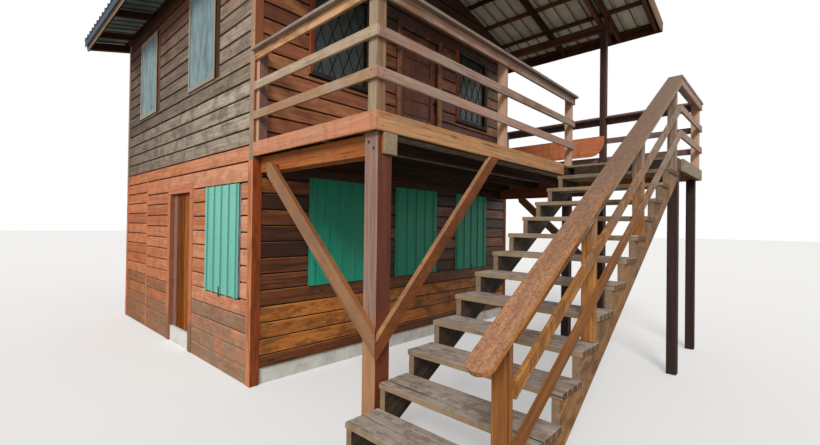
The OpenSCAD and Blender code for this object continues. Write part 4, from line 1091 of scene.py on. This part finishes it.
def makeOverhangShade(name, side):
    # zigzags along the eave, upright, between the board's face and the sheet's edge
    shape = bmesh.new()
    top = eaveHigh.z - 4 * mm
    count = int((sheetHigh.y - sheetLow.y) / overhangShade["rib"]) * 4
    rows = []
    for k in range(count + 1):
        y = sheetLow.y + (sheetHigh.y - sheetLow.y) * k / count
        out = eaveHigh.x + overhangShade["shallow" if k % 4 < 2 else "deep"]
        rows.append([shape.verts.new((side * min(out, sheetHigh.x - 1 * mm), y, z))
                     for z in (top, top - overhangShade["drop"])])
    for (a, b), (c, d) in zip(rows, rows[1:]):
        shape.faces.new((a, b, d, c) if side > 0 else (a, c, d, b))
    mesh = bpy.data.meshes.new(name)
    shape.to_mesh(mesh)
    shape.free()
    mesh.materials.append(overhangShadePaint)
    keepPiece(name, mesh, "root")


makeOverhangShade("eave_overhang_shade_left", -1)
makeOverhangShade("eave_overhang_shade_right", 1)
print("eaves flashed")


# Nails through rails and fascias, and bolts through the beams' ends

nailRows, boltRows = [], []
faceOut = {"left": (quarter, 0, -quarter), "front": (quarter, 0, 0)}
postSpots = [(low + high) / 2 for low, high in solidBoxes("balustrade_posts") + solidBoxes("roof_posts")]


def drive(face, low, along, z):
    # a nail through a rail's outer face
    at = (low.x - 1 * mm, along, z) if face == "left" else (along, low.y - 1 * mm, z)
    nailRows.append({"at": at, "turn": faceOut[face]})


for node, face, axis in (("side_rails", "left", 1), ("front_rails", "front", 0)):
    for low, high in solidBoxes(node):
        for spot in postSpots:
            if low[axis] < spot[axis] < high[axis] and abs(spot[1 - axis] - low[1 - axis]) < 0.12:
                for z in (low.z + 22 * mm, high.z - 22 * mm):
                    drive(face, low, spot[axis] + rng.uniform(-14, 14) * mm, z)
for node, face, axis in (("side_fascias", "left", 1), ("front_fascias", "front", 0)):
    for low, high in solidBoxes(node):
        if face == "left" and low.x >= 0:
            continue
        count = max(2, round((high[axis] - low[axis]) / 0.45))
        for along in evenLevels(low[axis] + 40 * mm, high[axis] - 40 * mm, count - 1):
            drive(face, low, along, low.z + 35 * mm)
            drive(face, low, along, high.z - 35 * mm)
for low, high in solidBoxes("deck_posts"):
    if high.x - low.x > 0.13 and low.x < 0:
        for dy, z in ((45 * mm, lowerTop - 90 * mm), (95 * mm, lowerTop - 40 * mm)):
            boltRows.append({"at": (low.x - 2 * mm, low.y + dy, z), "turn": faceOut["left"]})
growStuds("rail_nails", nailRows, 4, 3)
growStuds("post_bolts", boltRows, 11, 7)
print("nails and bolts set")


# Stage, light and camera

stage = {
    "size": 90.0, "floor": "#e9e7e3", "bounce": "#a0988a", "lift": 0.35, "ambient": 0.6, "sun": 2.2,
    "softness": 18, "towards": (0.74, 0.48, -0.62),  # the way the light goes
}


def makeStage():
    mesh = bpy.data.meshes.new("studioFloor")
    half = stage["size"]
    corners = [(x * half, y * half, -2 * mm) for x, y in ((-1, -1), (1, -1), (1, 1), (-1, 1))]
    mesh.from_pydata(corners, [], [(0, 1, 2, 3)])
    floor = linkObject("studioFloor", mesh)
    material, add = newMaterial("palePaper")
    # paper to the eye, but it throws no more light back than grass and gravel would
    seen = add("LightPath").outputs["Is Camera Ray"]
    tint = add("Mix", {0: seen, 6: stage["bounce"], 7: stage["floor"]}, data_type="RGBA")
    paper = add("BsdfDiffuse", {"Color": tint})
    glow = add("Emission", {"Color": (1, 1, 1, 1), "Strength": 1.0})
    lift = add("Math", {0: seen, 1: stage["lift"]}, operation="MULTIPLY")
    mixed = add("MixShader", {0: lift, 1: paper, 2: glow})
    add("OutputMaterial", {"Surface": mixed})
    mesh.materials.append(material)

    # the rays that show the backdrop see white, and the others a dimmer light
    world = bpy.data.worlds.new("studio")
    bpy.context.scene.world = world
    world.use_nodes = True
    world.node_tree.nodes.clear()
    add = partial(addNode, world.node_tree)
    lighting, shown = (
        add("Background", {"Color": (1, 1, 1, 1), "Strength": strength})
        for strength in (stage["ambient"], 1.0))
    path = add("LightPath").outputs
    rays = path["Is Camera Ray"]
    for key in ("Is Glossy Ray", "Is Transmission Ray"):
        rays = add("Math", {0: rays, 1: path[key]}, operation="MAXIMUM")
    mixed = add("MixShader", {0: rays, 1: lighting, 2: shown})
    add("OutputWorld", {"Surface": mixed})

    lamp = bpy.data.lights.new("softKey", "SUN")
    lamp.energy = stage["sun"]
    lamp.angle = math.radians(stage["softness"])
    linkObject("softKey", lamp).rotation_euler = Vector(stage["towards"]).to_track_quat("-Z", "Y").to_euler()


camera = {
    "at": (-4.419, -6.328, 1.630),
    "yaw": 42.985, "pitch": 0.514, "roll": 0.779,  # degrees
    "lens": 18.161,
}


def makeCamera():
    yaw, pitch, roll = (math.radians(camera[k]) for k in ("yaw", "pitch", "roll"))
    forward = Vector((math.cos(yaw) * math.cos(pitch), math.sin(yaw) * math.cos(pitch), math.sin(pitch)))
    levelRight = Vector((math.sin(yaw), -math.cos(yaw), 0))
    levelUp = levelRight.cross(forward)
    right = math.cos(roll) * levelRight + math.sin(roll) * levelUp
    up = math.cos(roll) * levelUp - math.sin(roll) * levelRight
    data = bpy.data.cameras.new("photoView")
    data.sensor_width = 36
    data.lens = camera["lens"]
    data.clip_start, data.clip_end = 0.05, 400
    eye = linkObject("photoView", data)
    eye.matrix_world = Matrix.Translation(camera["at"]) @ Matrix((right, up, -forward)).transposed().to_4x4()
    bpy.context.scene.camera = eye


makeStage()
makeCamera()
bpy.context.scene.view_settings.view_transform = "Standard"
print("stage set")
